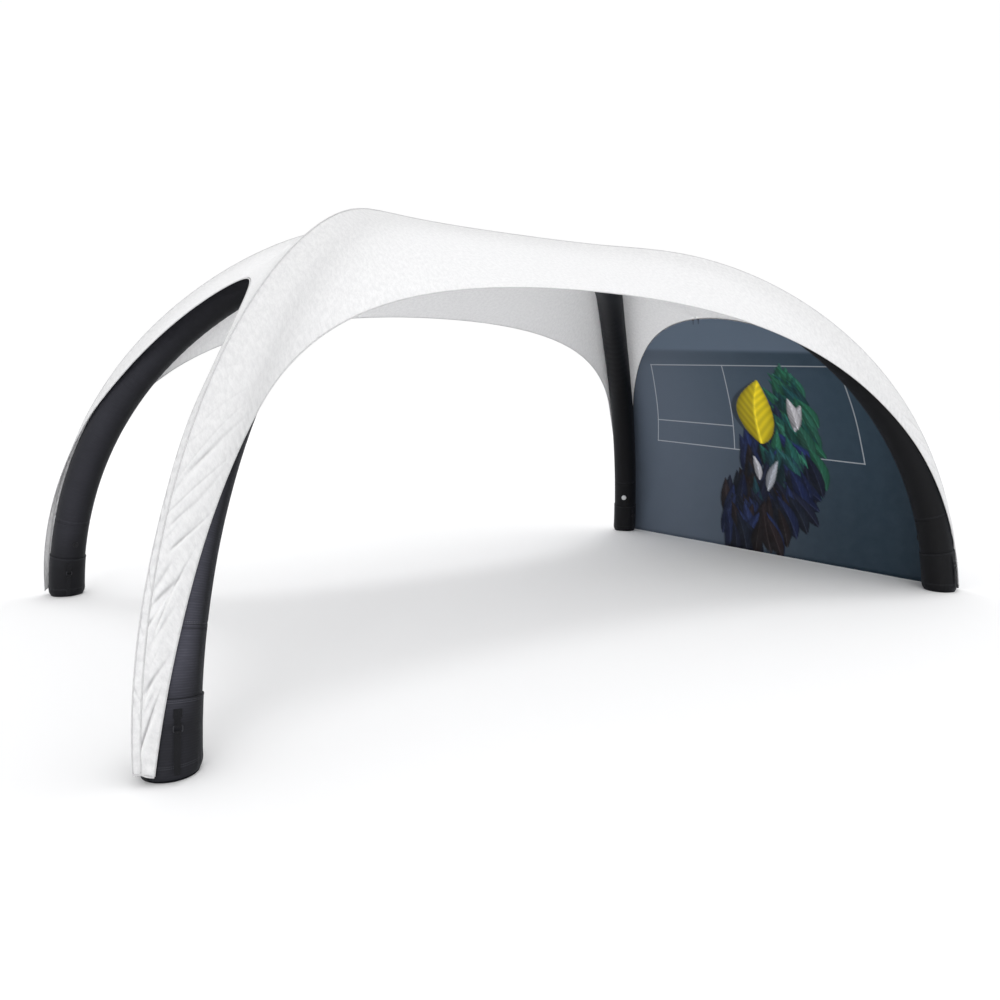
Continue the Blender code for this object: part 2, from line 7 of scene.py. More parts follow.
import math

import bmesh
import bpy
import numpy as np
from mathutils import Matrix, Vector


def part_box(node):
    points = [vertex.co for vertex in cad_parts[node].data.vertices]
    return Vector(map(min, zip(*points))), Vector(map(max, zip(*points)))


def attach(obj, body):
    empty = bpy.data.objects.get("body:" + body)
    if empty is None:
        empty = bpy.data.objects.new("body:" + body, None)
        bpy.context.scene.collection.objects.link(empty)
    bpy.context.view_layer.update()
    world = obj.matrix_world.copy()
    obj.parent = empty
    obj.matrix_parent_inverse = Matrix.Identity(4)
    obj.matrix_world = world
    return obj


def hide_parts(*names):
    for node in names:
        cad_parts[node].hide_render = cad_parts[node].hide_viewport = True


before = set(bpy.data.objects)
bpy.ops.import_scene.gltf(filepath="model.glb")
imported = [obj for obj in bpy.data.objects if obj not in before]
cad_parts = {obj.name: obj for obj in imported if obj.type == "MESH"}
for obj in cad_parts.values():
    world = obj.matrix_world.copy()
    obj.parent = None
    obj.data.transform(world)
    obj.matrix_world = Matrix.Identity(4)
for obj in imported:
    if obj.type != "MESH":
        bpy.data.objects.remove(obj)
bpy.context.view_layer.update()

# Air arches: the axis of one leg, from its foot to the crown
CROWN_Y = 0.123
CROWN_Z = 2.525
LEG = (
    (2.88, 1.83, 0.0),
    (2.81, 1.67, 2.45),
    (0.72, 0.31, 2.57),
    (1.84, CROWN_Y, CROWN_Z),
    (0.0, CROWN_Y, CROWN_Z),
)
TUBE_R = 0.1185
BLADDER_R = 0.110
TUBE_SIDES = 48
UPPER_SEAM = 0.60

# Feet
BOOT_R = 0.1238
BOOT_TOP = 0.31
BOOT_BOTTOM = 0.0045
BOOT_ROUND = 0.045

# Canopy: the Bezier handles of its arched edges are the CAD's own
FRONT_EDGE = (
    (2.955, 1.93, 0.035),
    (2.71, 1.855, 1.42),
    (2.23, 1.37, 1.74),
    (1.80, 1.02, 2.18),
    (0.0, 1.02, 2.18),
)
SIDE_EDGE = (
    (3.02, 1.87, 0.035),
    (3.04, 1.90, 0.99),
    (2.53, 1.45, 1.79),
    (2.01, 0.79, 2.21),
    (2.01, 0.0, 2.21),
)
MIDDLE_LINE = ((2.01, 0.0, 2.21), (1.15, 0.0, 2.60), (0.0, 0.0, 2.672))
RIDGE_GAP_FOOT = 0.028
RIDGE_GAP_TOP = 0.040
TIP_Z = 0.035
CLOTH_T = 0.0012
CLOTH_R = TUBE_R + 0.006
CLOTH_SOFTEN = 0.022
COLUMNS = 64
CREASES_FROM = 0.08
CREASES_TO = 1.62
CREASE_STEP = 0.056
HEM_STEP = 0.012

# Crown
CROWN_HALF_LENGTH = 0.188
CROWN_R = 0.1238

# Wall
WALL_INSET = 0.012
ZIP_INSET = 0.008
WALL_BOTTOM = 0.010
WALL_SAMPLES = 420
WALL_STEP = 0.0105

# Valves and straps
VALVE_Z = 0.42
VALVE_BEARING = math.radians(221)
RELIEF_BEARING = math.radians(255)
WEB_W = 0.025
WEB_T = 0.0016
PIVOT_Z = 0.214
PIVOT_OUT = 0.0105
BUCKLE_DROP = 0.024
EYE_R = 0.0042

# Camera
CAMERA_AT = (-3.502, -5.150, 1.467)
CAMERA_YAW = math.radians(-33.64)
CAMERA_PITCH = math.radians(-6.83)
LENS = 29.26

SIGNS = {"front_left": (-1, -1), "front_right": (1, -1), "back_left": (-1, 1), "back_right": (1, 1)}
ENDS = {"front": -1, "back": 1}


# Curves


def bezier(handles, ts):
    """Points of a Bezier curve of any degree."""
    ts = np.atleast_1d(np.asarray(ts, float))[:, None]
    points = [np.asarray(h, float) + 0 * ts for h in handles]
    while len(points) > 1:
        points = [(1 - ts) * a + ts * b for a, b in zip(points, points[1:])]
    return points[0]


def unit(v):
    return v / np.linalg.norm(v, axis=-1, keepdims=True)


def lengths(points):
    """How far along a run of points each of them is."""
    steps = np.linalg.norm(np.diff(points, axis=0), axis=1)
    return np.concatenate([[0.0], np.cumsum(steps)])


def at_lengths(points, wanted):
    """Points at distances along a run of points."""
    marks = lengths(points)
    return np.stack([np.interp(wanted, marks, points[:, k]) for k in range(3)], -1)


def smooth(x):
    x = np.clip(x, 0.0, 1.0)
    return x * x * (3 - 2 * x)


def bell(x, width):
    return np.exp(-((x / width) ** 2))


def catmull(points, per_span=8):
    """A smooth run of points through the given ones."""
    p = np.asarray(points, float)
    p = np.vstack([2 * p[0] - p[1], p, 2 * p[-1] - p[-2]])
    out = []
    for a, b, c, d in zip(p, p[1:], p[2:], p[3:]):
        for t in np.arange(per_span) / per_span:
            squared = (2 * a - 5 * b + 4 * c - d) * t**2
            cubed = (3 * b - a - 3 * c + d) * t**3
            out.append(0.5 * (2 * b + (c - a) * t + squared + cubed))
    return np.array(out + [p[-2]])


def wobble(u, v, seed, scale):
    """Smooth seeded noise from -1 to 1, with features about scale metres wide."""
    rng = np.random.default_rng(seed)
    total = 0.0
    for octave in range(3):
        for _ in range(5):
            angle, phase = rng.uniform(0, 2 * math.pi, 2)
            k = 2 * math.pi / scale * 1.9**octave * rng.uniform(0.7, 1.3)
            total = total + np.sin(k * (u * math.cos(angle) + v * math.sin(angle)) + phase) / 1.9**octave
    return total / 8


FOOT = np.array(LEG[0])
ACROSS = unit(np.array((-FOOT[1], FOOT[0], 0.0)))
LEG_TS = np.linspace(0, 1, 1500)
LEG_LINE = bezier(LEG, LEG_TS)
LEG_MARKS = lengths(LEG_LINE)
LEG_LENGTH = LEG_MARKS[-1]


def leg_frames(ts):
    """Centres, tangents, sideways and outward directions along a leg."""
    ts = np.atleast_1d(ts)
    tangent = unit(bezier(LEG, ts + 1e-4) - bezier(LEG, ts - 1e-4))
    side = unit(ACROSS - (tangent @ ACROSS)[:, None] * tangent)
    return bezier(LEG, ts), tangent, side, np.cross(side, tangent)


def t_at_height(z):
    return float(np.interp(z, LEG_LINE[:750, 2], LEG_TS[:750]))


def square_to_leg(signs, height, bearing):
    """A point on a leg's axis, its direction there, and a level-headed direction square to it."""
    centre, tangent, _, _ = leg_frames(t_at_height(height))
    scale = (*signs, 1)
    centre, tangent = Vector(centre[0] * scale), Vector(tangent[0] * scale)
    outward = Vector((math.cos(bearing), math.sin(bearing), 0))
    outward -= outward.dot(tangent) * tangent
    return centre, tangent, outward.normalized()


def looking(origin, outward):
    """A frame at origin whose Z points outward and whose X points up as far as it can."""
    z = Vector(outward).normalized()
    up = Vector((0, 0, 1))
    x = up - up.dot(z) * z
    x.normalize()
    return Matrix.Translation(Vector(origin)) @ Matrix((x, z.cross(x), z)).transposed().to_4x4()


# Meshes


def grid(name, points, uv, mat, closed=False, outside=None):
    """A quad mesh over rows and columns of points, with UVs in metres, facing away from a point inside."""
    rows, cols = points.shape[:2]
    span = cols if closed else cols - 1
    i, j = np.meshgrid(np.arange(rows - 1), np.arange(span), indexing="ij")
    corners = [(i, j), (i, j + 1), (i + 1, j + 1), (i + 1, j)]
    if outside is not None:
        a, b, c = (points[q[0].ravel(), q[1].ravel() % cols] for q in corners[:3])
        normal = np.cross(b - a, c - a)
        if (normal * outside(a)).sum() < 0:
            corners.reverse()
    faces = np.stack([q[0] * cols + q[1] % cols for q in corners], -1).reshape(-1, 4)
    mesh = bpy.data.meshes.new(name)
    mesh.from_pydata(points.reshape(-1, 3).tolist(), [], faces.tolist())
    loop_uv = np.stack([uv[q[0], q[1]] for q in corners], -2).reshape(-1, 2)
    mesh.uv_layers.new(name="UVMap").data.foreach_set("uv", loop_uv.astype(np.float32).ravel())
    mesh.materials.append(mat)
    mesh.shade_smooth()
    obj = bpy.data.objects.new(name, mesh)
    bpy.context.scene.collection.objects.link(obj)
    return obj


def away_from(line):
    """A field of directions away from the nearest point of a line."""

    def field(points):
        gaps = np.linalg.norm(points[:, None, :] - line[None, :, :], axis=2)
        return points - line[gaps.argmin(axis=1)]

    return field


def uv_grid(across, along):
    """UVs from a run of values over the columns and a run over the rows."""
    return np.stack(np.broadcast_arrays(across[None, :], along[:, None]), -1)


def spokes(side, out, angles):
    """Directions round each row's centre, at angles from its sideways direction."""
    return np.cos(angles)[None, :, None] * side[:, None, :] + np.sin(angles)[None, :, None] * out[:, None, :]


def metre_uv(points, closed):
    """UVs that run across the columns and along the rows, in metres."""
    ring = points[len(points) // 2]
    ring = np.vstack([ring, ring[:1]]) if closed else ring
    return uv_grid(lengths(ring), lengths(points.mean(axis=1)))


def capped(obj):
    """Closes a tube's open ends with a face each."""
    bm = bmesh.new()
    bm.from_mesh(obj.data)
    edges = [e for e in bm.edges if e.is_boundary]
    bmesh.ops.holes_fill(bm, edges=edges, sides=0)
    bmesh.ops.recalc_face_normals(bm, faces=bm.faces)
    bm.to_mesh(obj.data)
    bm.free()
    return obj


def tube(name, line, radius, mat, sides=10, loop=False):
    """A round tube along a run of points."""
    line = np.asarray(line, float)
    if loop:
        tangent = unit(np.roll(line, -1, axis=0) - np.roll(line, 1, axis=0))
    else:
        tangent = unit(np.gradient(line, axis=0))
    first = np.array((0.0, 0.0, 1.0))
    if abs(tangent[0] @ first) > 0.9:
        first = np.array((1.0, 0.0, 0.0))
    out = []
    for way in tangent:
        first = unit(first - (first @ way) * way)
        out.append(first)
    out = np.array(out)
    side = np.cross(tangent, out)
    angles = np.linspace(0, 2 * math.pi, sides, endpoint=False)
    radius = np.broadcast_to(radius, len(line))[:, None, None]
    points = line[:, None, :] + radius * spokes(side, out, angles)
    if loop:
        points = np.concatenate([points, points[:1]])
    obj = grid(name, points, metre_uv(points, True), mat, closed=True)
    if not loop:
        capped(obj)
    return obj


def ribbon(name, line, across, width=WEB_W):
    """Flat webbing with rolled edges, along a run of points square to the direction across."""
    line = np.asarray(line, float)
    across = unit(np.asarray(across, float))
    tangent = unit(np.gradient(line, axis=0))
    out = np.cross(tangent, across)
    angles = np.linspace(0, 2 * math.pi, 20, endpoint=False)
    cos, sin = np.cos(angles), np.sin(angles)
    x = np.sign(cos) * np.abs(cos) ** 0.35 * width / 2
    y = np.sign(sin) * np.abs(sin) ** 0.6 * WEB_T / 2
    points = line[:, None, :] + x[None, :, None] * across + y[None, :, None] * out[:, None, :]
    uv = uv_grid(np.append(x, x[0]), lengths(line))
    return capped(grid(name, points, uv, WEB, closed=True))


def lathe(name, profile, place, mat, sides=64, ribs=0, rib_depth=0.0):
    """A turned solid from (radius, height) points, with optional grip ribs on its widest part."""
    profile = np.array(profile, float)
    angles = np.linspace(0, 2 * math.pi, sides * 2 if ribs else sides, endpoint=False)
    radius = np.maximum(profile[:, 0], 1e-5)
    widest = smooth((radius / radius.max() - 0.9) / 0.08)
    r = radius[:, None] * (1 - rib_depth * widest[:, None] * (0.5 - 0.5 * np.cos(ribs * angles))[None, :])
    height = np.broadcast_to(profile[:, 1][:, None], r.shape)
    points = np.stack([r * np.cos(angles), r * np.sin(angles), height], -1)
    obj = capped(grid(name, points, metre_uv(points, True), mat, closed=True))
    obj.data.transform(place)
    obj.data.set_sharp_from_angle(angle=math.radians(40))
    return obj


def rounded(profile, radius=0.0008):
    """A profile whose corners are rounded, for turned parts."""
    p = np.array(profile, float)
    out = [p[0]]
    for a, b, c in zip(p, p[1:], p[2:]):
        ab, cb = a - b, c - b
        cut = min(radius, 0.45 * np.linalg.norm(ab), 0.45 * np.linalg.norm(cb))
        start, end = b + unit(ab) * cut, b + unit(cb) * cut
        for t in np.linspace(0, 1, 4):
            out.append((1 - t) ** 2 * start + 2 * t * (1 - t) * b + t**2 * end)
    return out + [p[-1]]


def solidify(obj, offset=-1.0):
    """Gives a sheet its cloth's thickness."""
    mod = obj.modifiers.new("Cloth thickness", "SOLIDIFY")
    mod.thickness = CLOTH_T
    mod.offset = offset
    mod.use_even_offset = False
    return obj


def finish_piece(obj, body, slot, *nodes):
    """Puts a piece on its body, in the place of the CAD solids it stands for."""
    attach(obj, body)
    if nodes:
        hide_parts(*nodes)
    return obj


# Materials


class Nodes:
    """A short way to write a material's node tree."""

    def __init__(self, name, colour, roughness, metallic=0.0, **extra):
        self.mat = bpy.data.materials.new(name)
        self.mat.use_nodes = True
        self.tree = self.mat.node_tree
        self.bsdf = self.tree.nodes["Principled BSDF"]
        self.bsdf.inputs["Base Color"].default_value = (*colour, 1)
        self.bsdf.inputs["Roughness"].default_value = roughness
        self.bsdf.inputs["Metallic"].default_value = metallic
        for key, value in extra.items():
            self.bsdf.inputs[key.replace("_", " ")].default_value = value
        self.uv = self.add("ShaderNodeUVMap").outputs[0]
        self.place = self.add("ShaderNodeTexCoord").outputs["Object"]

    def add(self, kind, **settings):
        node = self.tree.nodes.new(kind)
        for key, value in settings.items():
            setattr(node, key, value)
        return node

    def plug(self, socket, value):
        if isinstance(value, bpy.types.NodeSocket):
            self.tree.links.new(value, socket)
        else:
            socket.default_value = value

    def math(self, operation, a, b=0.5, c=0.5):
        node = self.add("ShaderNodeMath", operation=operation)
        for socket, value in zip(node.inputs, (a, b, c)):
            self.plug(socket, value)
        return node.outputs[0]

    def noise(self, at, scale, detail=2.0, rough=0.5):
        node = self.add("ShaderNodeTexNoise")
        self.plug(node.inputs["Vector"], at)
        node.inputs["Scale"].default_value = scale
        node.inputs["Detail"].default_value = detail
        node.inputs["Roughness"].default_value = rough
        return node.outputs["Fac"]

    def stretched(self, at, x, y, z=1.0):
        node = self.add("ShaderNodeMapping")
        self.plug(node.inputs["Vector"], at)
        node.inputs["Scale"].default_value = (x, y, z)
        return node.outputs[0]

    def split(self, at):
        node = self.add("ShaderNodeSeparateXYZ")
        self.plug(node.inputs[0], at)
        return node.outputs

    def wave(self, value, period):
        """A sine from 0 to 1 along a value in metres."""
        turned = self.math("MULTIPLY_ADD", value, 2 * math.pi / period, 0.0)
        return self.math("MULTIPLY_ADD", self.math("SINE", turned), 0.5, 0.5)

    def near(self, value, centre, half):
        """1 within half of centre, else 0."""
        return self.math("COMPARE", value, centre, half)

    def mix(self, factor, a, b):
        node = self.add("ShaderNodeMix", data_type="RGBA")
        self.plug(node.inputs["Factor"], factor)
        colours = [s for s in node.inputs if s.type == "RGBA"]
        for socket, value in zip(colours, (a, b)):
            self.plug(socket, (*value, 1) if isinstance(value, tuple) else value)
        return [s for s in node.outputs if s.type == "RGBA"][0]

    def ramp(self, value, low, high, to_low=0.0, to_high=1.0):
        node = self.add("ShaderNodeMapRange")
        self.plug(node.inputs["Value"], value)
        for key, number in (("From Min", low), ("From Max", high), ("To Min", to_low), ("To Max", to_high)):
            node.inputs[key].default_value = number
        return node.outputs[0]

    def bump(self, height, distance, strength=1.0, below=None):
        node = self.add("ShaderNodeBump")
        node.inputs["Strength"].default_value = strength
        node.inputs["Distance"].default_value = distance
        self.plug(node.inputs["Height"], height)
        if below is not None:
            self.plug(node.inputs["Normal"], below)
        return node.outputs[0]

    def done(self, colour=None, roughness=None, normal=None):
        if colour is not None:
            self.plug(self.bsdf.inputs["Base Color"], colour)
        if roughness is not None:
            self.plug(self.bsdf.inputs["Roughness"], roughness)
        if normal is not None:
            self.plug(self.bsdf.inputs["Normal"], normal)
        return self.mat


def sleeve_cloth(name, seams):
    """Black woven polyester with fine rows and double stitched rings, and a painted highlight on the
    forward-facing side of the left legs.
    """
    sheen = {"Sheen_Weight": 0.04, "Sheen_Roughness": 0.5}
    n = Nodes(name, (0.012, 0.013, 0.016), 0.6, **sheen, Specular_IOR_Level=0.14)
    n.bsdf.inputs["Sheen Tint"].default_value = (0.6, 0.68, 0.9, 1)
    u, v, _ = n.split(n.uv)
    x, y, z = n.split(n.place)
    rows = n.wave(v, 0.0105)
    fine = n.math("MULTIPLY", n.wave(u, 0.0024), n.wave(v, 0.0024))
    broken = n.noise(n.stretched(n.uv, 14.0, 150.0), 1.0, 3.0, 0.6)
    blotch = n.noise(n.place, 3.5, 3.0, 0.55)
    # Painted highlight: lighter on the left legs, most on the front one, on the side of the tube that faces
    # forward, and less towards the foot.
    painted_highlight = n.math("MULTIPLY", n.ramp(x, -1.5, -2.7, 0.0, 1.0), n.ramp(y, -1.2, 2.0, 1.0, 0.18))
    facing = n.add("ShaderNodeVectorMath", operation="DOT_PRODUCT")
    n.plug(facing.inputs[0], n.add("ShaderNodeNewGeometry").outputs["Normal"])
    facing.inputs[1].default_value = (-0.33, -0.94, 0.1)
    painted_highlight = n.math("MULTIPLY", painted_highlight, n.ramp(facing.outputs["Value"], 0.48, 0.98, 0.06, 1.25))
    painted_highlight = n.math("MULTIPLY", painted_highlight, n.ramp(z, 0.22, 0.50, 0.19, 1.0))
    lit = n.math("MULTIPLY", rows, n.ramp(broken, 0.35, 0.75))
    tone = n.math("MULTIPLY_ADD", lit, 0.5, n.math("MULTIPLY", blotch, 0.5))
    deep = n.mix(tone, (0.0018, 0.0018, 0.0022), (0.0052, 0.0054, 0.0070))
    # The lighter tone that the painted highlight brings in.
    wear_and_highlight = n.mix(tone, (0.036, 0.036, 0.048), (0.094, 0.095, 0.120))
    shade = n.mix(painted_highlight, deep, wear_and_highlight)
    stitches = 0.0
    for seam in seams:
        for gap in (-0.0035, 0.0035):
            line = n.math("MULTIPLY", n.near(v, seam + gap, 0.0011), n.near(n.wave(u, 0.0075), 0.75, 0.42))
            stitches = n.math("MAXIMUM", stitches, line)
    share = n.math("MULTIPLY", stitches, 0.7)
    # The stitching thread is lighter under the painted highlight too.
    thread = n.mix(painted_highlight, (0.03, 0.031, 0.036), (0.15, 0.155, 0.18))
    colour = n.mix(share, shade, thread)
    height = n.math("ADD", n.math("MULTIPLY", rows, 0.5), n.math("MULTIPLY", fine, 0.35))
    height = n.math("ADD", height, n.math("MULTIPLY", stitches, 1.6))
    normal = n.bump(height, 0.0006, 0.7, n.bump(broken, 0.0008, 0.35))
    return n.done(colour, n.ramp(broken, 0.2, 0.9, 0.52, 0.7), normal)


def canopy_cloth(name, pale, dull):
    """White stretch knit with a crepe surface, thin enough to glow underneath, with painted shade in its
    folds and painted highlights on their crests.
    """
    n = Nodes(name, pale, 0.75, Specular_IOR_Level=0.25)
    crepe = n.noise(n.stretched(n.uv, 40.0, 34.0), 1.0, 4.0, 0.62)
    pebble = n.noise(n.stretched(n.uv, 120.0, 100.0), 1.0, 2.0, 0.55)
    u, v, _ = n.split(n.uv)
    knit = n.math("MULTIPLY", n.wave(u, 0.0016), n.wave(v, 0.0020))
    soil = n.noise(n.place, 1.3, 4.0, 0.6)
    grain = n.math("MULTIPLY_ADD", crepe, 0.65, n.math("MULTIPLY", pebble, 0.35))
    colour = n.mix(n.ramp(grain, 0.41, 0.59), dull, pale)
    colour = n.mix(n.ramp(soil, 0.45, 0.75, 0.0, 0.2), colour, tuple(0.94 * c for c in pale))
    # Painted shade in the valleys of the folds and a painted highlight on their crests.
    fold = n.add("ShaderNodeAttribute", attribute_name="Fold").outputs["Fac"]
    colour = n.mix(n.ramp(fold, 0.0, 0.8, 0.0, 0.8), colour, (0.97, 0.97, 0.97))
    colour = n.mix(n.ramp(fold, 0.0, -0.7, 0.0, 0.75), colour, (0.42, 0.42, 0.43))
    normal = n.bump(grain, 0.004, 0.6, n.bump(knit, 0.0003, 0.4))
    glow = n.add("ShaderNodeBsdfTranslucent")
    n.plug(glow.inputs["Color"], n.mix(grain, (0.93, 0.93, 0.94), (0.99, 0.99, 0.99)))
    both = n.add("ShaderNodeMixShader")
    both.inputs["Fac"].default_value = 0.34
    n.plug(both.inputs[1], n.bsdf.outputs["BSDF"])
    n.plug(both.inputs[2], glow.outputs["BSDF"])
    n.plug(n.tree.nodes["Material Output"].inputs["Surface"], both.outputs["Shader"])
    return n.done(colour, n.ramp(crepe, 0.2, 0.8, 0.7, 0.8), normal)


def print_cloth(segments):
    """Printed polyester: a painted attribute, pale frame lines, and a fine plain weave."""
    n = Nodes("printed_polyester", (0.08, 0.11, 0.14), 0.66, Specular_IOR_Level=0.15)
    attribute = n.add("ShaderNodeAttribute", attribute_name="Print")
    painted, cover = attribute.outputs["Color"], attribute.outputs["Alpha"]
    y, s, _ = n.split(n.uv)
    lines = 0.0
    for start, end in segments:
        start, end = np.array(start), np.array(end)
        (way_y, way_s), length = unit(end - start), np.linalg.norm(end - start)
        along = n.math("MULTIPLY_ADD", y, way_y, n.math("MULTIPLY_ADD", s, way_s, -(start @ (way_y, way_s))))
        off = n.math("MULTIPLY_ADD", s, way_y, -(start @ (-way_s, way_y)))
        across = n.math("MULTIPLY_ADD", y, -way_s, off)
        within = n.near(along, length / 2, length / 2 + 0.007)
        inside = n.math("MULTIPLY", within, n.near(across, 0.0, 0.0055))
        lines = n.math("MAXIMUM", lines, inside)
    lines = n.math("MULTIPLY", lines, n.math("SUBTRACT", 1.0, cover))
    colour = n.mix(n.math("MULTIPLY", lines, 0.55), painted, (0.55, 0.58, 0.62))
    dye = n.noise(n.stretched(n.uv, 9.0, 9.0), 1.0, 5.0, 0.6)
    colour = n.mix(n.ramp(dye, 0.35, 0.8, 0.0, 0.06), colour, (0.16, 0.20, 0.25))
    weave = n.math("ADD", n.wave(y, 0.0018), n.wave(s, 0.0018))
    normal = n.bump(weave, 0.0003, 0.4)
    return n.done(colour, n.ramp(dye, 0.2, 0.8, 0.6, 0.7), normal)


def webbing():
    """Black woven webbing, with its herringbone rows, its ribs and a fine fuzz."""
    n = Nodes("woven_webbing", (0.008, 0.008, 0.010), 0.65, Sheen_Weight=0.04, Specular_IOR_Level=0.15)
    u, v, _ = n.split(n.uv)
    chevron = n.math("ADD", v, n.math("ABSOLUTE", n.math("WRAP", u, 0.004, -0.004)))
    rows = n.wave(chevron, 0.0021)
    ribs = n.wave(u, 0.0030)
    fuzz = n.noise(n.place, 420.0, 2.0)
    weave = n.math("MULTIPLY_ADD", rows, 0.7, n.math("MULTIPLY", ribs, 0.3))
    colour = n.mix(n.math("MULTIPLY", weave, fuzz), (0.003, 0.003, 0.004), (0.020, 0.021, 0.026))
    return n.done(colour, None, n.bump(weave, 0.0007, 0.8))


def moulded(name, colour, roughness, shine=0.5):
    """Injection-moulded plastic with a faint spark texture and slight scuffing."""
    n = Nodes(name, colour, roughness, Specular_IOR_Level=shine)
    spark = n.noise(n.place, 900.0, 2.0)
    scuff = n.noise(n.place, 60.0, 5.0, 0.7)
    pale = tuple(min(1.0, c * 1.3 + 0.003) for c in colour)
    tint = n.mix(n.ramp(scuff, 0.5, 0.8), colour, pale)
    rough = n.ramp(scuff, 0.3, 0.8, roughness - 0.06, roughness + 0.14)
    return n.done(tint, rough, n.bump(spark, 0.0002, 0.5))


def plated():
    """Blackened steel with fine drawing marks, worn brighter in spots."""
    n = Nodes("blackened_steel", (0.05, 0.05, 0.055), 0.35, 0.9)
    marks = n.noise(n.stretched(n.uv, 900.0, 40.0), 1.0, 3.0)
    wear_and_highlight = n.noise(n.place, 180.0, 4.0, 0.65)
    tint = n.mix(n.ramp(wear_and_highlight, 0.58, 0.78), (0.045, 0.046, 0.052), (0.16, 0.16, 0.17))
    return n.done(tint, n.ramp(wear_and_highlight, 0.3, 0.8, 0.28, 0.5), n.bump(marks, 0.0001, 0.5))


def zip_cloth():
    """The zip's black tape and moulded coil, with a tooth every 3 mm."""
    n = Nodes("zip_coil", (0.012, 0.012, 0.014), 0.45)
    teeth = n.wave(n.split(n.uv)[1], 0.0030)
    dust = n.noise(n.place, 90.0, 3.0)
    colour = n.mix(n.math("MULTIPLY", teeth, dust), (0.008, 0.008, 0.010), (0.05, 0.052, 0.058))
    return n.done(colour, None, n.bump(teeth, 0.0008, 0.9))


def film():
    """The bladder's clear urethane film."""
    n = Nodes("urethane_film", (0.55, 0.57, 0.58), 0.3)
    cloud = n.noise(n.place, 14.0, 4.0)
    colour = n.mix(cloud, (0.50, 0.52, 0.53), (0.62, 0.64, 0.65))
    return n.done(colour, n.ramp(cloud, 0.2, 0.8, 0.25, 0.38), n.bump(cloud, 0.001, 0.3))


def floor_paint():
    """A plain pale studio floor."""
    n = Nodes("studio_floor", (0.93, 0.93, 0.935), 0.85)
    soft = n.noise(n.place, 0.8, 2.0)
    return n.done(n.mix(soft, (0.897, 0.898, 0.905), (0.903, 0.904, 0.911)))


ARCH_BLACK = sleeve_cloth("arch_polyester", (UPPER_SEAM,))
BOOT_BLACK = sleeve_cloth("boot_coated_cloth", (0.3005, 0.06))
CROWN_BLACK = sleeve_cloth("crown_polyester", (0.02, 2 * CROWN_HALF_LENGTH - 0.02))
CANOPY = canopy_cloth("canopy_knit", (0.925, 0.925, 0.928), (0.81, 0.81, 0.816))
# The binding is darker than the knit: painted shade, so the hems and ridge seams show as thin grey lines.
BINDING = canopy_cloth("canopy_binding", (0.70, 0.70, 0.705), (0.60, 0.60, 0.605))
WEB = webbing()
PLASTIC = moulded("valve_moulding", (0.46, 0.47, 0.48), 0.42)
DARK_PLASTIC = moulded("black_moulding", (0.010, 0.010, 0.012), 0.5, 0.2)
STEEL = plated()
ZIP = zip_cloth()
FILM = film()


# Air frame


def leg_rows(marks):
    """The leg's frames at distances from its foot."""
    return leg_frames(np.interp(marks, LEG_MARKS, LEG_TS))


def whole_arch(half, y_sign):
    """A half arch's rows and their mirror image, as one run."""
    full = np.concatenate([half, half[-2::-1] * (-1, 1, 1)])
    return full * (1, y_sign, 1)


def arch_skin(name, marks, radius, sides, y_sign, mat):
    """A tube of cloth along a whole arch, with UVs from each foot up."""
    centre, _, side, out = leg_rows(marks)
    centre[-1, 0] = 0.0
    angles = np.linspace(0, 2 * math.pi, sides, endpoint=False)
    half = centre[:, None, :] + radius(marks[:, None], angles[None, :])[..., None] * spokes(side, out, angles)
    half[-1, :, 0] = 0.0
    points = whole_arch(half, y_sign)
    u = np.linspace(0, 2 * math.pi * TUBE_R, sides + 1)
    v = np.concatenate([marks, marks[-2::-1]])
    uv = uv_grid(u, v)
    line = whole_arch(LEG_LINE[::6], y_sign)
    return grid(name, points, uv, mat, closed=True, outside=away_from(line[::4]))


def sleeve_radius(s, a):
    """The inflated sleeve's radius: drawn in at its seams and creased inside its bend."""
    inner = smooth(-np.sin(a) * 1.3)
    bend = bell(s - 2.25, 0.62)
    seam = -0.0016 * bell(s - UPPER_SEAM, 0.006) + 0.0005 * np.cos(30 * a) * bell(s - UPPER_SEAM, 0.03)
    creases = -0.0011 * bend * inner * np.abs(np.sin(math.pi * s / 0.085 + 0.6 * wobble(s, a, 3, 0.8))) ** 3
    felled = 0.0009 * bell((a - 1.5 * math.pi) * TUBE_R, 0.007)
    return TUBE_R + seam + creases + felled + 0.0007 * wobble(s + 0 * a, 0.12 * np.sin(a) + 0 * s, 5, 0.5)


def air_arches():
    """The two sleeves, the bladders inside them, the crown sleeve and the coupler."""
    marks = np.arange(0.03, LEG_LENGTH, 0.0125)
    marks = np.unique(np.concatenate([marks, UPPER_SEAM + np.arange(-0.02, 0.0201, 0.0025), [LEG_LENGTH]]))
    for end, y_sign in ENDS.items():
        name = f"{end}_arch_sleeve_cloth"
        obj = arch_skin(name, marks, sleeve_radius, TUBE_SIDES, y_sign, ARCH_BLACK)
        finish_piece(obj, "tent", "sleeve_fabric", f"{end}_arch_sleeve")
        coarse = np.append(np.arange(0.05, LEG_LENGTH, 0.05), LEG_LENGTH)
        name = f"{end}_arch_bladder_film"
        obj = arch_skin(name, coarse, lambda s, a: BLADDER_R + 0 * s + 0 * a, 24, y_sign, FILM)
        finish_piece(obj, "tent", "bladder_film", f"{end}_arch_bladder")
    crown_sleeve()
    inner = CROWN_Y - BLADDER_R + 0.019
    flange = ((0.012, inner + 0.003), (0.032, inner + 0.003), (0.032, inner), (0.018, inner))
    profile = flange + tuple((r, -h) for r, h in reversed(flange)) + flange[:1]
    place = looking((0, 0, CROWN_Z), (0, 1, 0))
    obj = lathe("crown_air_coupler_fitting", rounded(profile), place, DARK_PLASTIC)
    finish_piece(obj, "tent", "valve_plastic", "crown_air_coupler")


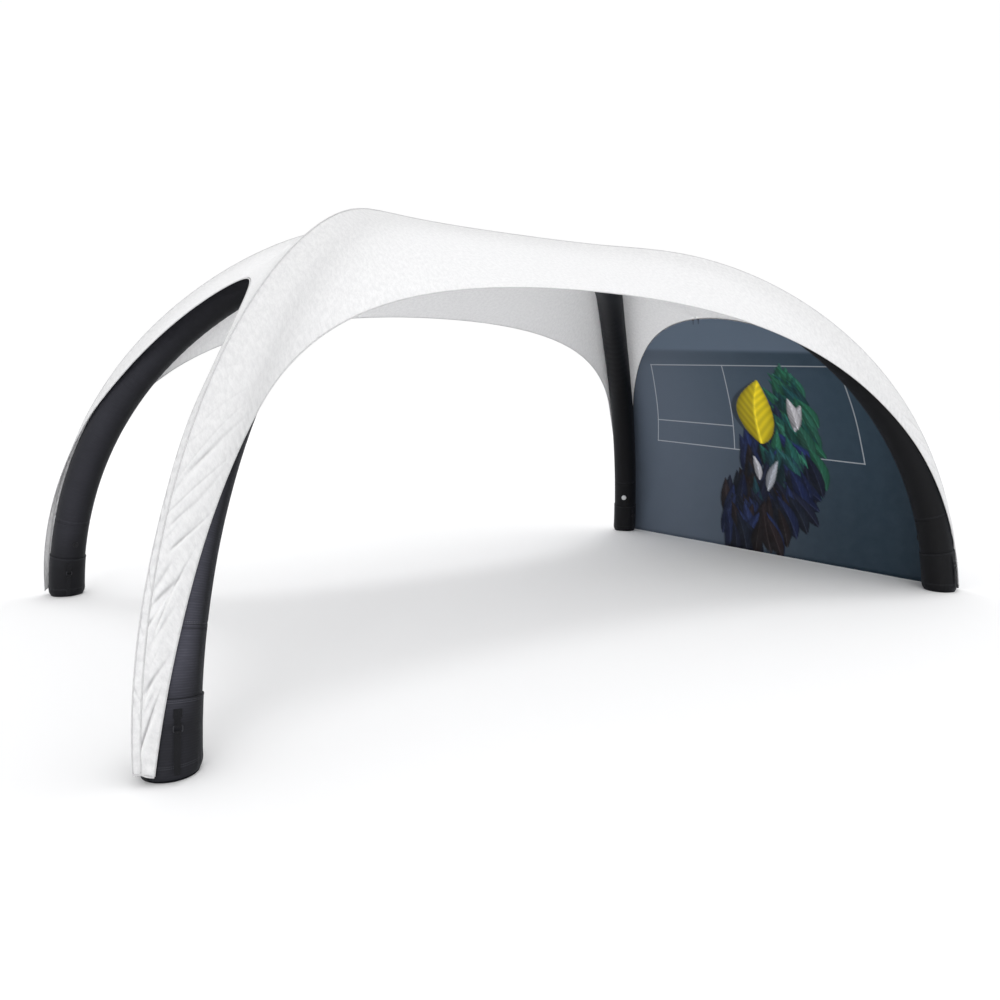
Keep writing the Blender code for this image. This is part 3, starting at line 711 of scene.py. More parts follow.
def crown_sleeve():
    """The band that binds the arches side by side, drawn tight over the valley between them."""
    half = []
    for angle in np.radians(np.linspace(-122, 122, 41)):
        half.append((CROWN_Y + CROWN_R * math.cos(angle), CROWN_Z + CROWN_R * math.sin(angle)))
    outline = np.array(half + [(-y, z) for y, z in reversed(half)])
    outline = np.vstack([outline, outline[:1]])
    marks = lengths(outline)
    even = np.linspace(0, marks[-1], 180, endpoint=False)
    y, z = np.interp(even, marks, outline[:, 0]), np.interp(even, marks, outline[:, 1])
    xs = np.linspace(-CROWN_HALF_LENGTH, CROWN_HALF_LENGTH, 60)
    points = np.stack(np.broadcast_arrays(xs[:, None], y[None, :], z[None, :]), -1).copy()
    pinch = 1 + 0.006 * wobble(xs[:, None] * 0.4 + 0 * even, even[None, :] + 0 * xs[:, None], 9, 0.09)
    pinch -= 0.006 * bell(np.abs(xs)[:, None] - CROWN_HALF_LENGTH + 0.02, 0.006)
    points[..., 2] = CROWN_Z + (points[..., 2] - CROWN_Z) * pinch
    uv = uv_grid(np.append(even, marks[-1]), xs + CROWN_HALF_LENGTH)
    centre = np.array([[0.0, y, CROWN_Z] for y in np.linspace(-0.12, 0.12, 9)])
    obj = grid("crown_sleeve_cloth", points, uv, CROWN_BLACK, closed=True, outside=away_from(centre))
    solidify(obj)
    finish_piece(obj, "tent", "sleeve_fabric", "crown_sleeve")


# Feet


def boot(corner):
    """The coated boot round a leg's foot: rounded underneath, hemmed and double stitched at its top."""
    signs = SIGNS[corner]
    top = float(np.interp(t_at_height(BOOT_TOP), LEG_TS, LEG_MARKS))
    low = BOOT_BOTTOM + BOOT_ROUND * (1 - np.cos(np.linspace(0, math.pi / 2, 14)))
    middle = np.arange(low[-1] + 0.008, top - 0.012, 0.008)
    marks = np.concatenate([low, middle, np.linspace(top - 0.010, top, 7)])
    centre, tangent, _, _ = leg_rows(marks)
    upright = smooth(marks / 0.16)[:, None]
    tangent = unit((1 - upright) * np.array((0, 0, 1.0)) + upright * tangent)
    side = unit(ACROSS - (tangent @ ACROSS)[:, None] * tangent)
    out = np.cross(side, tangent)
    angles = np.linspace(0, 2 * math.pi, 96, endpoint=False)
    s, a = marks[:, None], angles[None, :]
    share = np.clip((s - BOOT_BOTTOM) / BOOT_ROUND, 0, 1)
    radius = BOOT_R - 0.020 * (1 - np.sqrt(np.clip(1 - (1 - share) ** 2, 0, 1)))
    hem = 0.0010 * smooth((s - top + 0.012) / 0.002) - 0.0016 * bell(s - top + 0.011, 0.0018)
    pucker = 0.0010 * np.sin(22 * a + 2 * np.sin(3 * a)) * bell(s - 0.05, 0.028)
    radius = radius + hem + pucker + 0.0008 * wobble(s * 0.6 + 0 * a, 0.25 * np.sin(a) + 0 * s, 11, 0.16)
    radius = radius - 0.0045 * smooth((s - top + 0.0011) / 0.0012)
    points = (centre[:, None, :] + radius[..., None] * spokes(side, out, angles)) * (*signs, 1)
    uv = uv_grid(np.linspace(0, 2 * math.pi * BOOT_R, 97), marks)
    line = centre * (*signs, 1)
    obj = grid(f"{corner}_boot_cloth", points, uv, BOOT_BLACK, closed=True, outside=away_from(line))
    finish_piece(obj, "tent", "foot_vinyl", f"{corner}_boot")
    end = corner.split("_")[0]
    pad = ((0.0, 0.004), (0.108, 0.004), (0.1105, 0.003), (0.1105, 0.001), (0.109, 0.0), (0.0, 0.0))
    place = Matrix.Translation((FOOT[0] * signs[0], FOOT[1] * signs[1], 0))
    obj = lathe(f"{corner}_base_pad_vinyl", rounded(pad, 0.0012), place, BOOT_BLACK, sides=96)
    finish_piece(obj, "tent", "foot_vinyl", f"{corner}_base_pad")


# Canopy


def clear_of_arches(points, axes, soften=CLOTH_SOFTEN):
    """Points eased away from the arches, as taut cloth runs over them."""
    shape = points.shape
    flat = points.reshape(-1, 3)
    for axis in axes:
        for start in range(0, len(flat), 20000):
            part = flat[start : start + 20000]
            nearest = nearest_on(axis, part)
            gap = np.linalg.norm(part - nearest, axis=1)
            eased = 0.5 * (gap + CLOTH_R + np.sqrt((gap - CLOTH_R) ** 2 + soften**2))
            flat[start : start + 20000] = nearest + (part - nearest) * (eased / gap)[:, None]
    return flat.reshape(shape)


def nearest_on(line, points):
    """The nearest point of a run of points, taken between its points as well."""
    gaps = ((points[:, None, :] - line[None, :, :]) ** 2).sum(axis=2)
    k = np.clip(gaps.argmin(axis=1), 1, len(line) - 2)
    before, after = line[k - 1], line[k + 1]
    run = after - before
    share = ((points - before) * run).sum(axis=1) / (run * run).sum(axis=1)
    return before + np.clip(share, 0, 1)[:, None] * run


AXIS = LEG_LINE[::8]
AXES_BOTH = (AXIS, AXIS * (1, -1, 1))
RIDGE_START = float(np.interp(t_at_height(TIP_Z), LEG_TS, LEG_MARKS))


def ridge_line(marks):
    """Where the ridge seam stands off a leg."""
    ts = np.interp(marks, LEG_MARKS, LEG_TS)
    centre, _, _, out = leg_frames(ts)
    gap = RIDGE_GAP_FOOT + (RIDGE_GAP_TOP - RIDGE_GAP_FOOT) * smooth(ts / 0.3)
    return centre + out * (TUBE_R + gap)[:, None]


def row_marks():
    """Distances up the leg of the canopy's rows: close together where the cloth is creased."""
    low = np.arange(RIDGE_START, 2.3, 0.0066)
    high = np.linspace(2.306, LEG_LENGTH, 130)
    return np.concatenate([low, high])


ROWS = row_marks()
RIDGE = ridge_line(ROWS)
RIDGE[-1, 0] = 0.0
RIDGE_MARKS = lengths(RIDGE)
SHARES = RIDGE_MARKS / RIDGE_MARKS[-1]
TURN = int(np.linalg.norm(RIDGE - np.array(SIDE_EDGE[-1]), axis=1).argmin())


def curve_shares(handles, shares):
    """Points of a Bezier curve at shares of its length."""
    line = bezier(handles, np.linspace(0, 1, 900))
    return at_lengths(line, shares * lengths(line)[-1])


def creases(s, w, slant, seed):
    """Diagonal drag lines: each starts at the seam and runs up and across, then dies away."""
    rng = np.random.default_rng(seed)
    height = 0.0 * s * w
    for start in np.arange(CREASES_FROM, CREASES_TO, CREASE_STEP):
        start = start + rng.uniform(-0.035, 0.035)
        steep = slant * rng.uniform(0.8, 1.25) * (1.10 - 0.22 * start)
        reach = (0.07 + 0.15 * min(start, 1.0)) * rng.uniform(0.45, 1.2)
        begin = rng.uniform(-0.02, 0.035)
        bow = rng.uniform(-0.12, 0.12)
        off = (s - start - steep * w + bow * np.sin(9 * w)) / math.hypot(1, steep)
        size = rng.uniform(0.25, 1.0) * (1 - 0.85 * smooth((start - 0.70) / 0.6))
        sharp = rng.uniform(0.0030, 0.0055)
        fade = smooth((w - begin) / 0.03) * (1 - smooth((w - reach * 0.4) / (reach * 0.6)))
        height = height + size * fade * (bell(off, 1.3 * sharp) - 0.8 * bell(off - 2.0 * sharp, sharp))
    return height


def canopy_relief(s, w, far, seed, slant):
    """How far the cloth stands off its taut surface, and how deep in a fold it is, from -1 to 1."""
    folds = creases(s, w, slant, seed) * (1.0 if slant > 3 else 0.45)
    ripple = np.sin(2 * math.pi * (s + 0.015 * wobble(s, w, seed + 1, 0.3)) / 0.052)
    ripple = ripple * bell(far, 0.05) * (0.3 + 0.7 * smooth(wobble(s, w, seed + 2, 0.7) + 0.4))
    gather = np.sin(2 * math.pi * (s - 0.6 * w) / 0.061) * bell(w, 0.05) * smooth((s - 1.2) / 0.6)
    relief = 0.0050 * folds + 0.0010 * ripple + 0.0006 * gather
    relief = relief + 0.0016 * wobble(s, w, seed + 3, 0.42) * smooth(w / 0.1) * smooth(far / 0.1)
    relief = relief + 0.0008 * wobble(s + w, w - s, seed + 4, 0.11) * smooth(w / 0.05) * smooth(far / 0.05)
    return relief, np.clip(folds + 0.14 * ripple + 0.09 * gather, -1, 1)


def raised(points, relief, outside):
    """Points moved along their surface's normals."""
    normal = np.cross(np.gradient(points, axis=0), np.gradient(points, axis=1))
    normal /= np.maximum(np.linalg.norm(normal, axis=2, keepdims=True), 1e-9)
    turn = np.sign((normal * outside).sum(axis=2, keepdims=True))
    flip = 1.0 if np.median(turn) >= 0 else -1.0
    return points + normal * flip * relief[..., None]


def taut_rows(far):
    """Cloth pulled tight from the ridge seam, round the arch where it touches, to points on its far edge."""
    ts = np.interp(ROWS, LEG_MARKS, LEG_TS)
    centre, tangent, side, out = leg_frames(ts)
    reach = far - centre
    a, b, along = ((reach * way).sum(axis=1) for way in (side, out, tangent))
    facing = np.where(a < 0, -1.0, 1.0)
    top = ((RIDGE - centre) * out).sum(axis=1)
    distance = np.maximum(np.hypot(a, b), CLOTH_R + 1e-5)
    leave = math.pi / 2 - np.arccos(CLOTH_R / top)
    meet = np.arctan2(b, np.abs(a)) + np.arccos(CLOTH_R / distance)
    wraps = meet < leave
    first = np.sqrt(top**2 - CLOTH_R**2)
    last = np.sqrt(distance**2 - CLOTH_R**2)
    round_arch = CLOTH_R * (leave - meet)
    whole = np.where(wraps, first + round_arch + last, np.hypot(a, b - top))
    run = whole[:, None] * np.linspace(0, 1, COLUMNS)
    turned = leave[:, None] - np.clip((run - first[:, None]) / CLOTH_R, 0, (leave - meet)[:, None])
    x, y = CLOTH_R * np.cos(turned), CLOTH_R * np.sin(turned)
    before = np.clip(1 - run / first[:, None], 0, 1)
    after = np.clip((run - (first + round_arch)[:, None]) / last[:, None], 0, 1)
    x = x + before * (0 - x) + after * (np.abs(a)[:, None] - x)
    y = y + before * (top[:, None] - y) + after * (b[:, None] - y)
    share = run / whole[:, None]
    x = np.where(wraps[:, None], x, np.abs(a)[:, None] * share)
    y = np.where(wraps[:, None], y, top[:, None] + (b - top)[:, None] * share)
    points = centre[:, None] + (facing[:, None] * x)[..., None] * side[:, None] + y[..., None] * out[:, None]
    points = points + (along[:, None] * share)[..., None] * tangent[:, None]
    points[:, 0], points[:, -1] = RIDGE, far
    return points, whole[:, None]


def eased_off_ridge(points, axes):
    """The cloth eased off the arches, but left where it is along its seam."""
    eased = clear_of_arches(points.copy(), axes, 0.005)
    held = smooth(np.linspace(0, 1, COLUMNS) / 0.06)[None, :, None]
    return points + (eased - points) * held


def evened(points):
    """The cloth with its folds between neighbouring rows relaxed, its edges held."""
    for _ in range(6):
        points[1:-1, 1:-1] += 0.25 * (points[:-2, 1:-1] + points[2:, 1:-1] - 2 * points[1:-1, 1:-1])
    return points


def front_half(seed):
    """Half of the panel between a ridge and its front or back edge, at +X +Y."""
    low = clear_of_arches(curve_shares(FRONT_EDGE, SHARES), (AXIS,))
    low[:, 2] = np.maximum(low[:, 2], TIP_Z)
    low[-1] = (0.0, low[-1, 1], low[-1, 2])
    points, width = taut_rows(low)
    points = eased_off_ridge(evened(points), (AXIS,))
    w = np.linspace(0, 1, COLUMNS)[None, :] * width
    s = ROWS[:, None] + 0 * w
    relief, folds = canopy_relief(s, w, width - w, seed, 3.1)
    relief = relief * smooth(w / 0.006) * smooth((width - w) / 0.004)
    points = raised(points, relief, points - np.array((1.2, 0.2, 1.0)))
    points[-1, :, 0] = 0.0
    return points, np.stack([w, s], -1), low, folds


def side_half(seed):
    """Half of a side panel: from a ridge to the side edge, and above it to the tent's middle line."""
    low_shares = RIDGE_MARKS[: TURN + 1] / RIDGE_MARKS[TURN]
    low = clear_of_arches(curve_shares(SIDE_EDGE, low_shares), (AXIS,))
    low[:, 2] = np.maximum(low[:, 2], TIP_Z)
    low[-1, 1] = 0.0
    rise = (RIDGE_MARKS[TURN + 1 :] - RIDGE_MARKS[TURN]) / (RIDGE_MARKS[-1] - RIDGE_MARKS[TURN])
    middle = curve_shares((tuple(low[-1]),) + MIDDLE_LINE[1:], rise)
    points, width = taut_rows(np.concatenate([low, middle]))
    points = eased_off_ridge(evened(points), AXES_BOTH)
    w = np.linspace(0, 1, COLUMNS)[None, :] * width
    s = ROWS[:, None] + 0 * w
    open_edge = (np.arange(len(ROWS)) <= TURN)[:, None]
    relief, folds = canopy_relief(s, w, np.where(open_edge, width - w, 10.0), seed, 2.6)
    relief = relief * smooth(w / 0.006) * np.where(open_edge, smooth((width - w) / 0.004), 1.0)
    points = raised(points, relief, points - np.array((0.6, 0.0, 1.0)))
    points[TURN:, -1, 1] = 0.0
    points[-1, :, 0] = 0.0
    return points, np.stack([w, s], -1), low, folds


def canopy():
    """Four panels of stretch knit and their hems."""
    fronts, sides = front_half(21), side_half(41)
    centre = np.array([[x, 0.0, 1.2] for x in np.linspace(-1.4, 1.4, 9)])
    for end, y_sign in ENDS.items():
        points, uv, low, folds = fronts
        full = whole_arch(points, y_sign)
        full_uv = np.concatenate([uv, uv[-2::-1] * (1, -1) + (0, 2 * ROWS[-1])])
        obj = grid(f"{end}_canopy_panel_knit", full, full_uv, CANOPY, outside=away_from(centre))
        tint(obj, np.concatenate([folds, folds[-2::-1]]))
        solidify(obj)
        finish_piece(obj, "tent", "canopy_fabric", f"{end}_canopy_panel")
        hem(f"{end}_canopy_hem", whole_arch(low, y_sign))
    for side, x_sign in (("left", -1), ("right", 1)):
        points, uv, low, folds = sides
        points = points * (x_sign, 1, 1)
        full = np.concatenate([points, points[:, -2::-1] * (1, -1, 1)], axis=1)
        span = uv[:, -1:, 0]
        other = np.stack([2 * span - uv[:, -2::-1, 0], uv[:, -2::-1, 1]], -1)
        full_uv = np.concatenate([uv, other], axis=1)
        folds = np.concatenate([folds, folds[:, -2::-1]], axis=1)
        obj = side_sheet(f"{side}_canopy_panel_knit", full, full_uv, folds, centre)
        solidify(obj)
        finish_piece(obj, "tent", "canopy_fabric", f"{side}_canopy_panel")
        line = low * (x_sign, 1, 1)
        line = np.concatenate([line, line[-2::-1] * (1, -1, 1)])
        hem(f"{side}_canopy_hem", line)


def tint(obj, folds):
    """Gives each point of a panel how deep in a fold it is, for the painted shade in the folds' valleys and
    the painted highlight on their crests.
    """
    layer = obj.data.attributes.new("Fold", "FLOAT", "POINT")
    layer.data.foreach_set("value", folds.astype(np.float32).ravel())


def side_sheet(name, full, full_uv, folds, centre):
    """A side panel: one sheet above the top of the side arch, and two legs of cloth below it."""
    obj = grid(name, full, full_uv, CANOPY, outside=away_from(centre))
    tint(obj, folds)
    per_row = full.shape[1] - 1
    middle = per_row // 2
    bm = bmesh.new()
    bm.from_mesh(obj.data)
    bm.faces.ensure_lookup_table()
    doomed = [bm.faces[row * per_row + k] for row in range(TURN) for k in (middle - 1, middle)]
    bmesh.ops.delete(bm, geom=doomed, context="FACES")
    bm.to_mesh(obj.data)
    bm.free()
    return obj


def hem(node, line):
    """The rolled hem of an arched edge."""
    line = at_lengths(line, np.arange(0, lengths(line)[-1], HEM_STEP))
    swell = 0.0034 + 0.0003 * wobble(np.arange(len(line)) * HEM_STEP, 0.0, 77, 0.08)
    obj = tube(f"{node}_roll", line, swell, BINDING)
    return finish_piece(obj, "tent", "canopy_fabric", node)


def ridge_seams():
    """The corded seam along each ridge."""
    for end, y_sign in ENDS.items():
        line = whole_arch(RIDGE[:, None, :], y_sign)[:, 0]
        line = at_lengths(line, np.arange(0, lengths(line)[-1], HEM_STEP))
        swell = 0.0036 + 0.0003 * wobble(np.arange(len(line)) * HEM_STEP, 0.0, 78, 0.07)
        obj = tube(f"{end}_ridge_seam_bead", line, swell, BINDING)
        finish_piece(obj, "tent", "canopy_fabric", f"{end}_ridge_seam")


def tip(corner, front_foot, side_foot):
    """The bound edge at the bottom of a canopy tip, and the elastic loop that pulls it down."""
    signs = SIGNS[corner]
    ridge = RIDGE[0]
    slack = (0.003, 0.003, 0)
    front_middle, side_middle = (front_foot + ridge) / 2 + slack, (side_foot + ridge) / 2 + slack
    line = catmull([front_foot, front_middle, ridge, side_middle, side_foot])
    obj = tube(f"{corner}_tip_hem", line * (*signs, 1), 0.0036, BINDING)
    finish_piece(obj, "tent", "canopy_fabric")
    bearing = math.atan2(0.536 * signs[1], 0.844 * signs[0])
    outward = np.array((math.cos(bearing), math.sin(bearing), 0))
    base = np.array((FOOT[0] * signs[0], FOOT[1] * signs[1], 0))
    bend = ((0.002, 0.006), (0.009, 0.013), (0.016, 0.024), (0.017, 0.033))
    path = [base + outward * (BOOT_R - 0.012 + d) + (0, 0, z) for d, z in bend]
    obj = ribbon(f"{corner}_tip_loop_elastic", catmull(path, 6), np.cross(outward, (0, 0, 1)), 0.012)
    finish_piece(obj, "tent", "webbing", f"{corner}_tip_loop")


# Wall


def side_profile(count):
    """The side opening's edge from its foot to its top, in (x, y, z)."""
    return clear_of_arches(bezier(SIDE_EDGE, np.linspace(0, 1, count)), (AXIS,), 0.012)


def inset(line, distance):
    """The side edge moved into the opening."""
    run = unit(np.gradient(line, axis=0)[:, 1:])
    moved = line.copy()
    moved[:, 1] -= distance * run[:, 1]
    moved[:, 2] += distance * run[:, 0]
    moved[:, 1] = np.maximum(moved[:, 1], 0.0)
    moved[-1, 1] = 0.0
    return moved


# The printed frame on the cloth: metres across the wall, and metres up it
FRAME_BOTTOM = 1.08
FRAME_HEIGHT = 0.92
FRAME_LEFT = 0.90
FRAME_WIDTH = 2.05
FRAME_FLARE = 0.35
FRAME_FALL = 0.12
FRAME_DIVIDER = 0.43
FRAME_CROSS = 0.27


def frame_point(share, height):
    """A point of the printed frame, whose share runs from its left side and height from its foot."""
    flare = FRAME_FLARE * (1 - height)
    across = FRAME_LEFT + flare - share * (FRAME_WIDTH + flare)
    return across, FRAME_BOTTOM + FRAME_HEIGHT * height - FRAME_FALL * share


def frame_lines():
    """The printed frame's four sides, its divider and the cross line left of that."""
    corners = ((0, 1), (1, 1), (1, 0), (0, 0))
    runs = list(zip(corners, corners[1:] + corners[:1]))
    runs.append(((FRAME_DIVIDER, 1), (FRAME_DIVIDER, 0)))
    runs.append(((0, FRAME_CROSS), (FRAME_DIVIDER, FRAME_CROSS)))
    return [(frame_point(*start), frame_point(*end)) for start, end in runs]


def leaf(y, s, at, angle, length, width, colour, seed, picture):
    """Paints one leaf over the picture: a blade, a pale midrib, side veins and a darker edge."""
    ca, sa = math.cos(angle), math.sin(angle)
    a = ((y - at[0]) * ca + (s - at[1]) * sa) / length
    b = (-(y - at[0]) * sa + (s - at[1]) * ca) / (width / 2)
    b = b - 0.35 * math.sin(seed) * np.sin(math.pi * np.clip(a, 0, 1))
    half = np.sin(math.pi * np.clip(a, 0, 1) ** 0.78) ** 0.9
    cover = smooth((half - np.abs(b)) * width / 2 / 0.006 + 0.5) * ((a > 0) & (a < 1))
    veins = 0.5 + 0.5 * np.sin(26 * (a - 0.35 * np.abs(b)) * (1 + length))
    side = np.where(b > 0, 1.25, 0.72)
    light = side * (0.72 + 0.28 * veins) * (1.1 - 0.55 * (np.abs(b) / np.maximum(half, 0.05)) ** 3)
    light = light * (0.75 + 0.45 * a)
    rib = np.clip(bell(b, 0.07) * (1.1 - a), 0, 1)
    colour = np.array(colour)
    paint = colour * light[..., None] + rib[..., None] * (0.8 * colour + 0.02)
    shade = smooth((half * 1.25 - np.abs(b + 0.12)) * width / 2 / 0.03)
    shadow = 1 - 0.55 * shade * ((a > -0.02) & (a < 1.02))
    picture[..., :3] *= (shadow + (1 - shadow) * cover)[..., None]
    picture[..., :3] = picture[..., :3] * (1 - cover[..., None]) + paint * cover[..., None]
    picture[..., 3] = np.maximum(picture[..., 3], cover)


# Where the spray's leaves grow: a height up the cloth, and how far left and right they reach there
SPRAY = (
    (0.0, 0.50, -0.30),
    (0.3, 0.48, -0.62),
    (0.78, 0.20, -0.78),
    (1.13, -0.12, -0.80),
    (1.45, -0.42, -0.74),
    (1.72, -0.58, -0.72),
)
LEAF_COUNT = 210
LEAVES = {
    "dark": ((0.006, 0.008, 0.022), (0.012, 0.007, 0.008), (0.004, 0.006, 0.014), (0.008, 0.014, 0.050)),
    "blue": ((0.008, 0.016, 0.070), (0.008, 0.040, 0.055), (0.006, 0.010, 0.030), (0.012, 0.060, 0.060)),
    "green": ((0.010, 0.075, 0.062), (0.014, 0.095, 0.055), (0.006, 0.045, 0.050), (0.022, 0.120, 0.080)),
}
# The leaves laid over the spray: place, lean in degrees, length, width and colour
PALE_LEAVES = (
    ((-0.52, 1.24), 118, 0.30, 0.12, (0.40, 0.40, 0.43)),
    ((-0.56, 1.26), 88, 0.32, 0.12, (0.50, 0.49, 0.52)),
    ((-0.10, 0.62), 118, 0.36, 0.10, (0.36, 0.38, 0.43)),
    ((-0.02, 0.72), 84, 0.26, 0.09, (0.46, 0.46, 0.50)),
    ((-0.12, 1.10), 105, 0.70, 0.40, (0.66, 0.52, 0.012)),
)
BAND_UP = 2.09
BAND_SLANT = 0.085


def printed_picture(y, s):
    """The wall's print: a slate gradient under a spray of dark leaves, as (r, g, b, cover)."""
    across = smooth((1.3 - y) / 2.5)[..., None]
    up = smooth((s - 0.1) / 1.9)[..., None]
    left = np.array((0.095, 0.119, 0.158)) * (0.90 + 0.20 * up)
    right = np.array((0.0205, 0.037, 0.055)) * (0.95 + 0.65 * up)
    base = left * (1 - across) + right * across
    over_band = s - BAND_SLANT * y - BAND_UP
    band = smooth(over_band / 0.05)[..., None]
    base = base * (1 - 0.14 * bell(over_band + 0.05, 0.10))[..., None]
    base = base * (1 - band) + np.array((0.114, 0.152, 0.206)) * band
    picture = np.concatenate([base, 0 * y[..., None]], -1)
    rng = np.random.default_rng(5)
    heights, lefts, rights = np.array(SPRAY).T
    for k in range(LEAF_COUNT):
        rise = 1.0 - k / LEAF_COUNT
        foot_s = -0.12 + 1.74 * rise
        share = rng.uniform(0, 1)
        low, high = np.interp(foot_s, heights, lefts), np.interp(foot_s, heights, rights)
        foot = (low + (high - low) * share, foot_s + rng.uniform(-0.05, 0.05))
        lean = math.radians(90 + 62 * (0.5 - share) + rng.uniform(-22, 22) - 6)
        size = 0.30 + 0.14 * (1 - rise) + rng.uniform(-0.06, 0.08)
        mood = rise + rng.uniform(-0.12, 0.12) - 0.35 * (share < 0.35)
        family = LEAVES["dark" if mood < 0.28 else "blue" if mood < 0.52 else "green"]
        tone = rng.uniform(0.55, 1.5)
        colour = tuple(tone * c for c in family[rng.integers(len(family))])
        leaf(y, s, foot, lean, size, size * rng.uniform(0.26, 0.38), colour, k, picture)
    for at, lean, size, wide, pale in PALE_LEAVES:
        leaf(y, s, at, math.radians(lean), size, wide, pale, lean, picture)
    return picture


def paint(obj, y, s):
    """Gives each point of a piece the print's colour at its place on the wall."""
    colours = obj.data.color_attributes.new("Print", "FLOAT_COLOR", "POINT")
    colours.data.foreach_set("color", printed_picture(y, s).astype(np.float32).ravel())
    return obj


def wall():
    """The printed wall, its hem, its zip and the sliders."""
    edge = side_profile(WALL_SAMPLES)
    line = inset(edge, WALL_INSET)
    line[0, 2] = WALL_BOTTOM
    profile = np.stack([line[:, 0], 0 * line[:, 0], line[:, 2]], -1)
    marks = lengths(profile)
    even = np.searchsorted(marks, np.arange(0, marks[-1], WALL_STEP))
    flat_top = np.arange(WALL_SAMPLES - 90, WALL_SAMPLES, 2)
    keep = np.unique(np.concatenate([even, flat_top, [WALL_SAMPLES - 1]]))
    line, marks = line[keep], marks[keep]
    share = np.linspace(-1, 1, 361)
    y = line[:, 1][:, None] * share[None, :]
    s = marks[:, None] + 0 * y
    points = np.stack([line[:, 0][:, None] + 0 * y, y, line[:, 2][:, None] + 0 * y], -1)
    rim = (1 - np.abs(share))[None, :] * line[:, 1][:, None]
    drag = np.sin(2 * math.pi * (y * 0.9 + 0.5 * s + 0.06 * wobble(y, s, 31, 0.9)) / 0.34)
    relief = 0.0035 * drag * smooth(rim / 0.25) * bell(s - 0.5, 0.7)
    relief = relief + 0.0045 * wobble(y, s, 33, 1.1) * smooth(rim / 0.2)
    relief = relief + 0.0016 * np.sin(2 * math.pi * s / 0.075) * bell(rim, 0.05)
    relief = relief * smooth(s / 0.05) * smooth((marks[-1] - s) / 0.1)
    points[..., 0] += relief * 0.8
    uv = np.stack([y, s], -1)
    mat = print_cloth(frame_lines())
    obj = paint(grid("wall_panel_print", points, uv, mat), y, s)
    solidify(obj, 0.0)
    finish_piece(obj, "wall", "printed_fabric", "wall_panel")
    bottom = np.array([(line[0, 0], t, WALL_BOTTOM - 0.004) for t in np.linspace(-1, 1, 120) * line[0, 1]])
    seam = tube("wall_bottom_hem_roll", bottom, 0.0046, mat, sides=12)
    low = np.array([v.co.y for v in seam.data.vertices])
    paint(seam, low, 0 * low)
    for corner in seam.data.uv_layers["UVMap"].uv:
        corner.vector = (corner.vector.x - 5.0, 0.0)
    finish_piece(seam, "wall", "printed_fabric", "wall_bottom_hem")
    track = inset(edge, ZIP_INSET)
    track = np.concatenate([track, track[-2::-1] * (1, -1, 1)])
    track = at_lengths(track, np.arange(0, lengths(track)[-1], 0.008))
    coil = tube("wall_zip_coil", track, 0.0030, ZIP)
    finish_piece(coil, "wall", "webbing", "wall_zip")
    for end in ENDS:
        zip_slider(end)


def zip_slider(end):
    """A die-cast slider body with a waist, and its wire pull."""
    low, high = (np.array(v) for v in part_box(f"{end}_zip_slider"))
    middle = (low + high) / 2
    slope, normal = unit(np.array((0.742, 0, -0.671))), unit(np.array((-0.671, 0, -0.742)))
    along = np.array((0.0, 1.0, 0.0))
    rings = []
    angles = np.linspace(0, 2 * math.pi, 32, endpoint=False)
    for t in np.linspace(-1, 1, 25):
        end_round = math.sqrt(max(0.0, 1 - abs(t) ** 6))
        wide = (0.0045 - 0.0011 * bell(t, 0.35)) * (0.35 + 0.65 * end_round)
        thick = 0.0034 * (0.25 + 0.75 * end_round)
        c, d = np.cos(angles), np.sin(angles)
        x, z = np.sign(c) * np.abs(c) ** 0.4 * wide, np.sign(d) * np.abs(d) ** 0.4 * thick
        rings.append(middle + along * t * 0.0105 + x[:, None] * slope + z[:, None] * normal)
    points = np.array(rings)
    obj = capped(grid(f"{end}_zip_slider_cast", points, metre_uv(points, True), STEEL, closed=True))
    finish_piece(obj, "wall", "buckle_steel", f"{end}_zip_slider")
    low, high = (np.array(v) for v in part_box(f"{end}_zip_puller"))
    top, bottom = high[2], low[2]
    x, y = (low[0] + high[0]) / 2, (low[1] + high[1]) / 2
    outline = wire_outline(0.0036, bottom - top + 0.0024, 0.003)
    path = np.array([(x, y + a, top - 0.0012 + b) for a, b in outline])
    obj = tube(f"{end}_zip_puller_wire", path, 0.00105, STEEL, loop=True)
    finish_piece(obj, f"{end}_zip_pull", "buckle_steel", f"{end}_zip_puller")


def wire_outline(half, foot, radius):
    """A wire's closed outline: a rectangle from height 0 to its foot, with rounded corners."""
    p = np.array(((-half, 0.0), (half, 0.0), (half, foot), (-half, foot)))
    out = []
    for k in range(len(p)):
        a, b, c = p[k - 1], p[k], p[(k + 1) % len(p)]
        start, end = b + unit(a - b) * radius, b + unit(c - b) * radius
        for t in np.linspace(0, 1, 6):
            out.append((1 - t) ** 2 * start + 2 * t * (1 - t) * b + t**2 * end)
        nearer = p[(k + 1) % len(p)] + unit(b - c) * radius
        out += [end + (nearer - end) * t for t in np.linspace(0, 1, 6)[1:-1]]
    return np.array(out)


# Valves


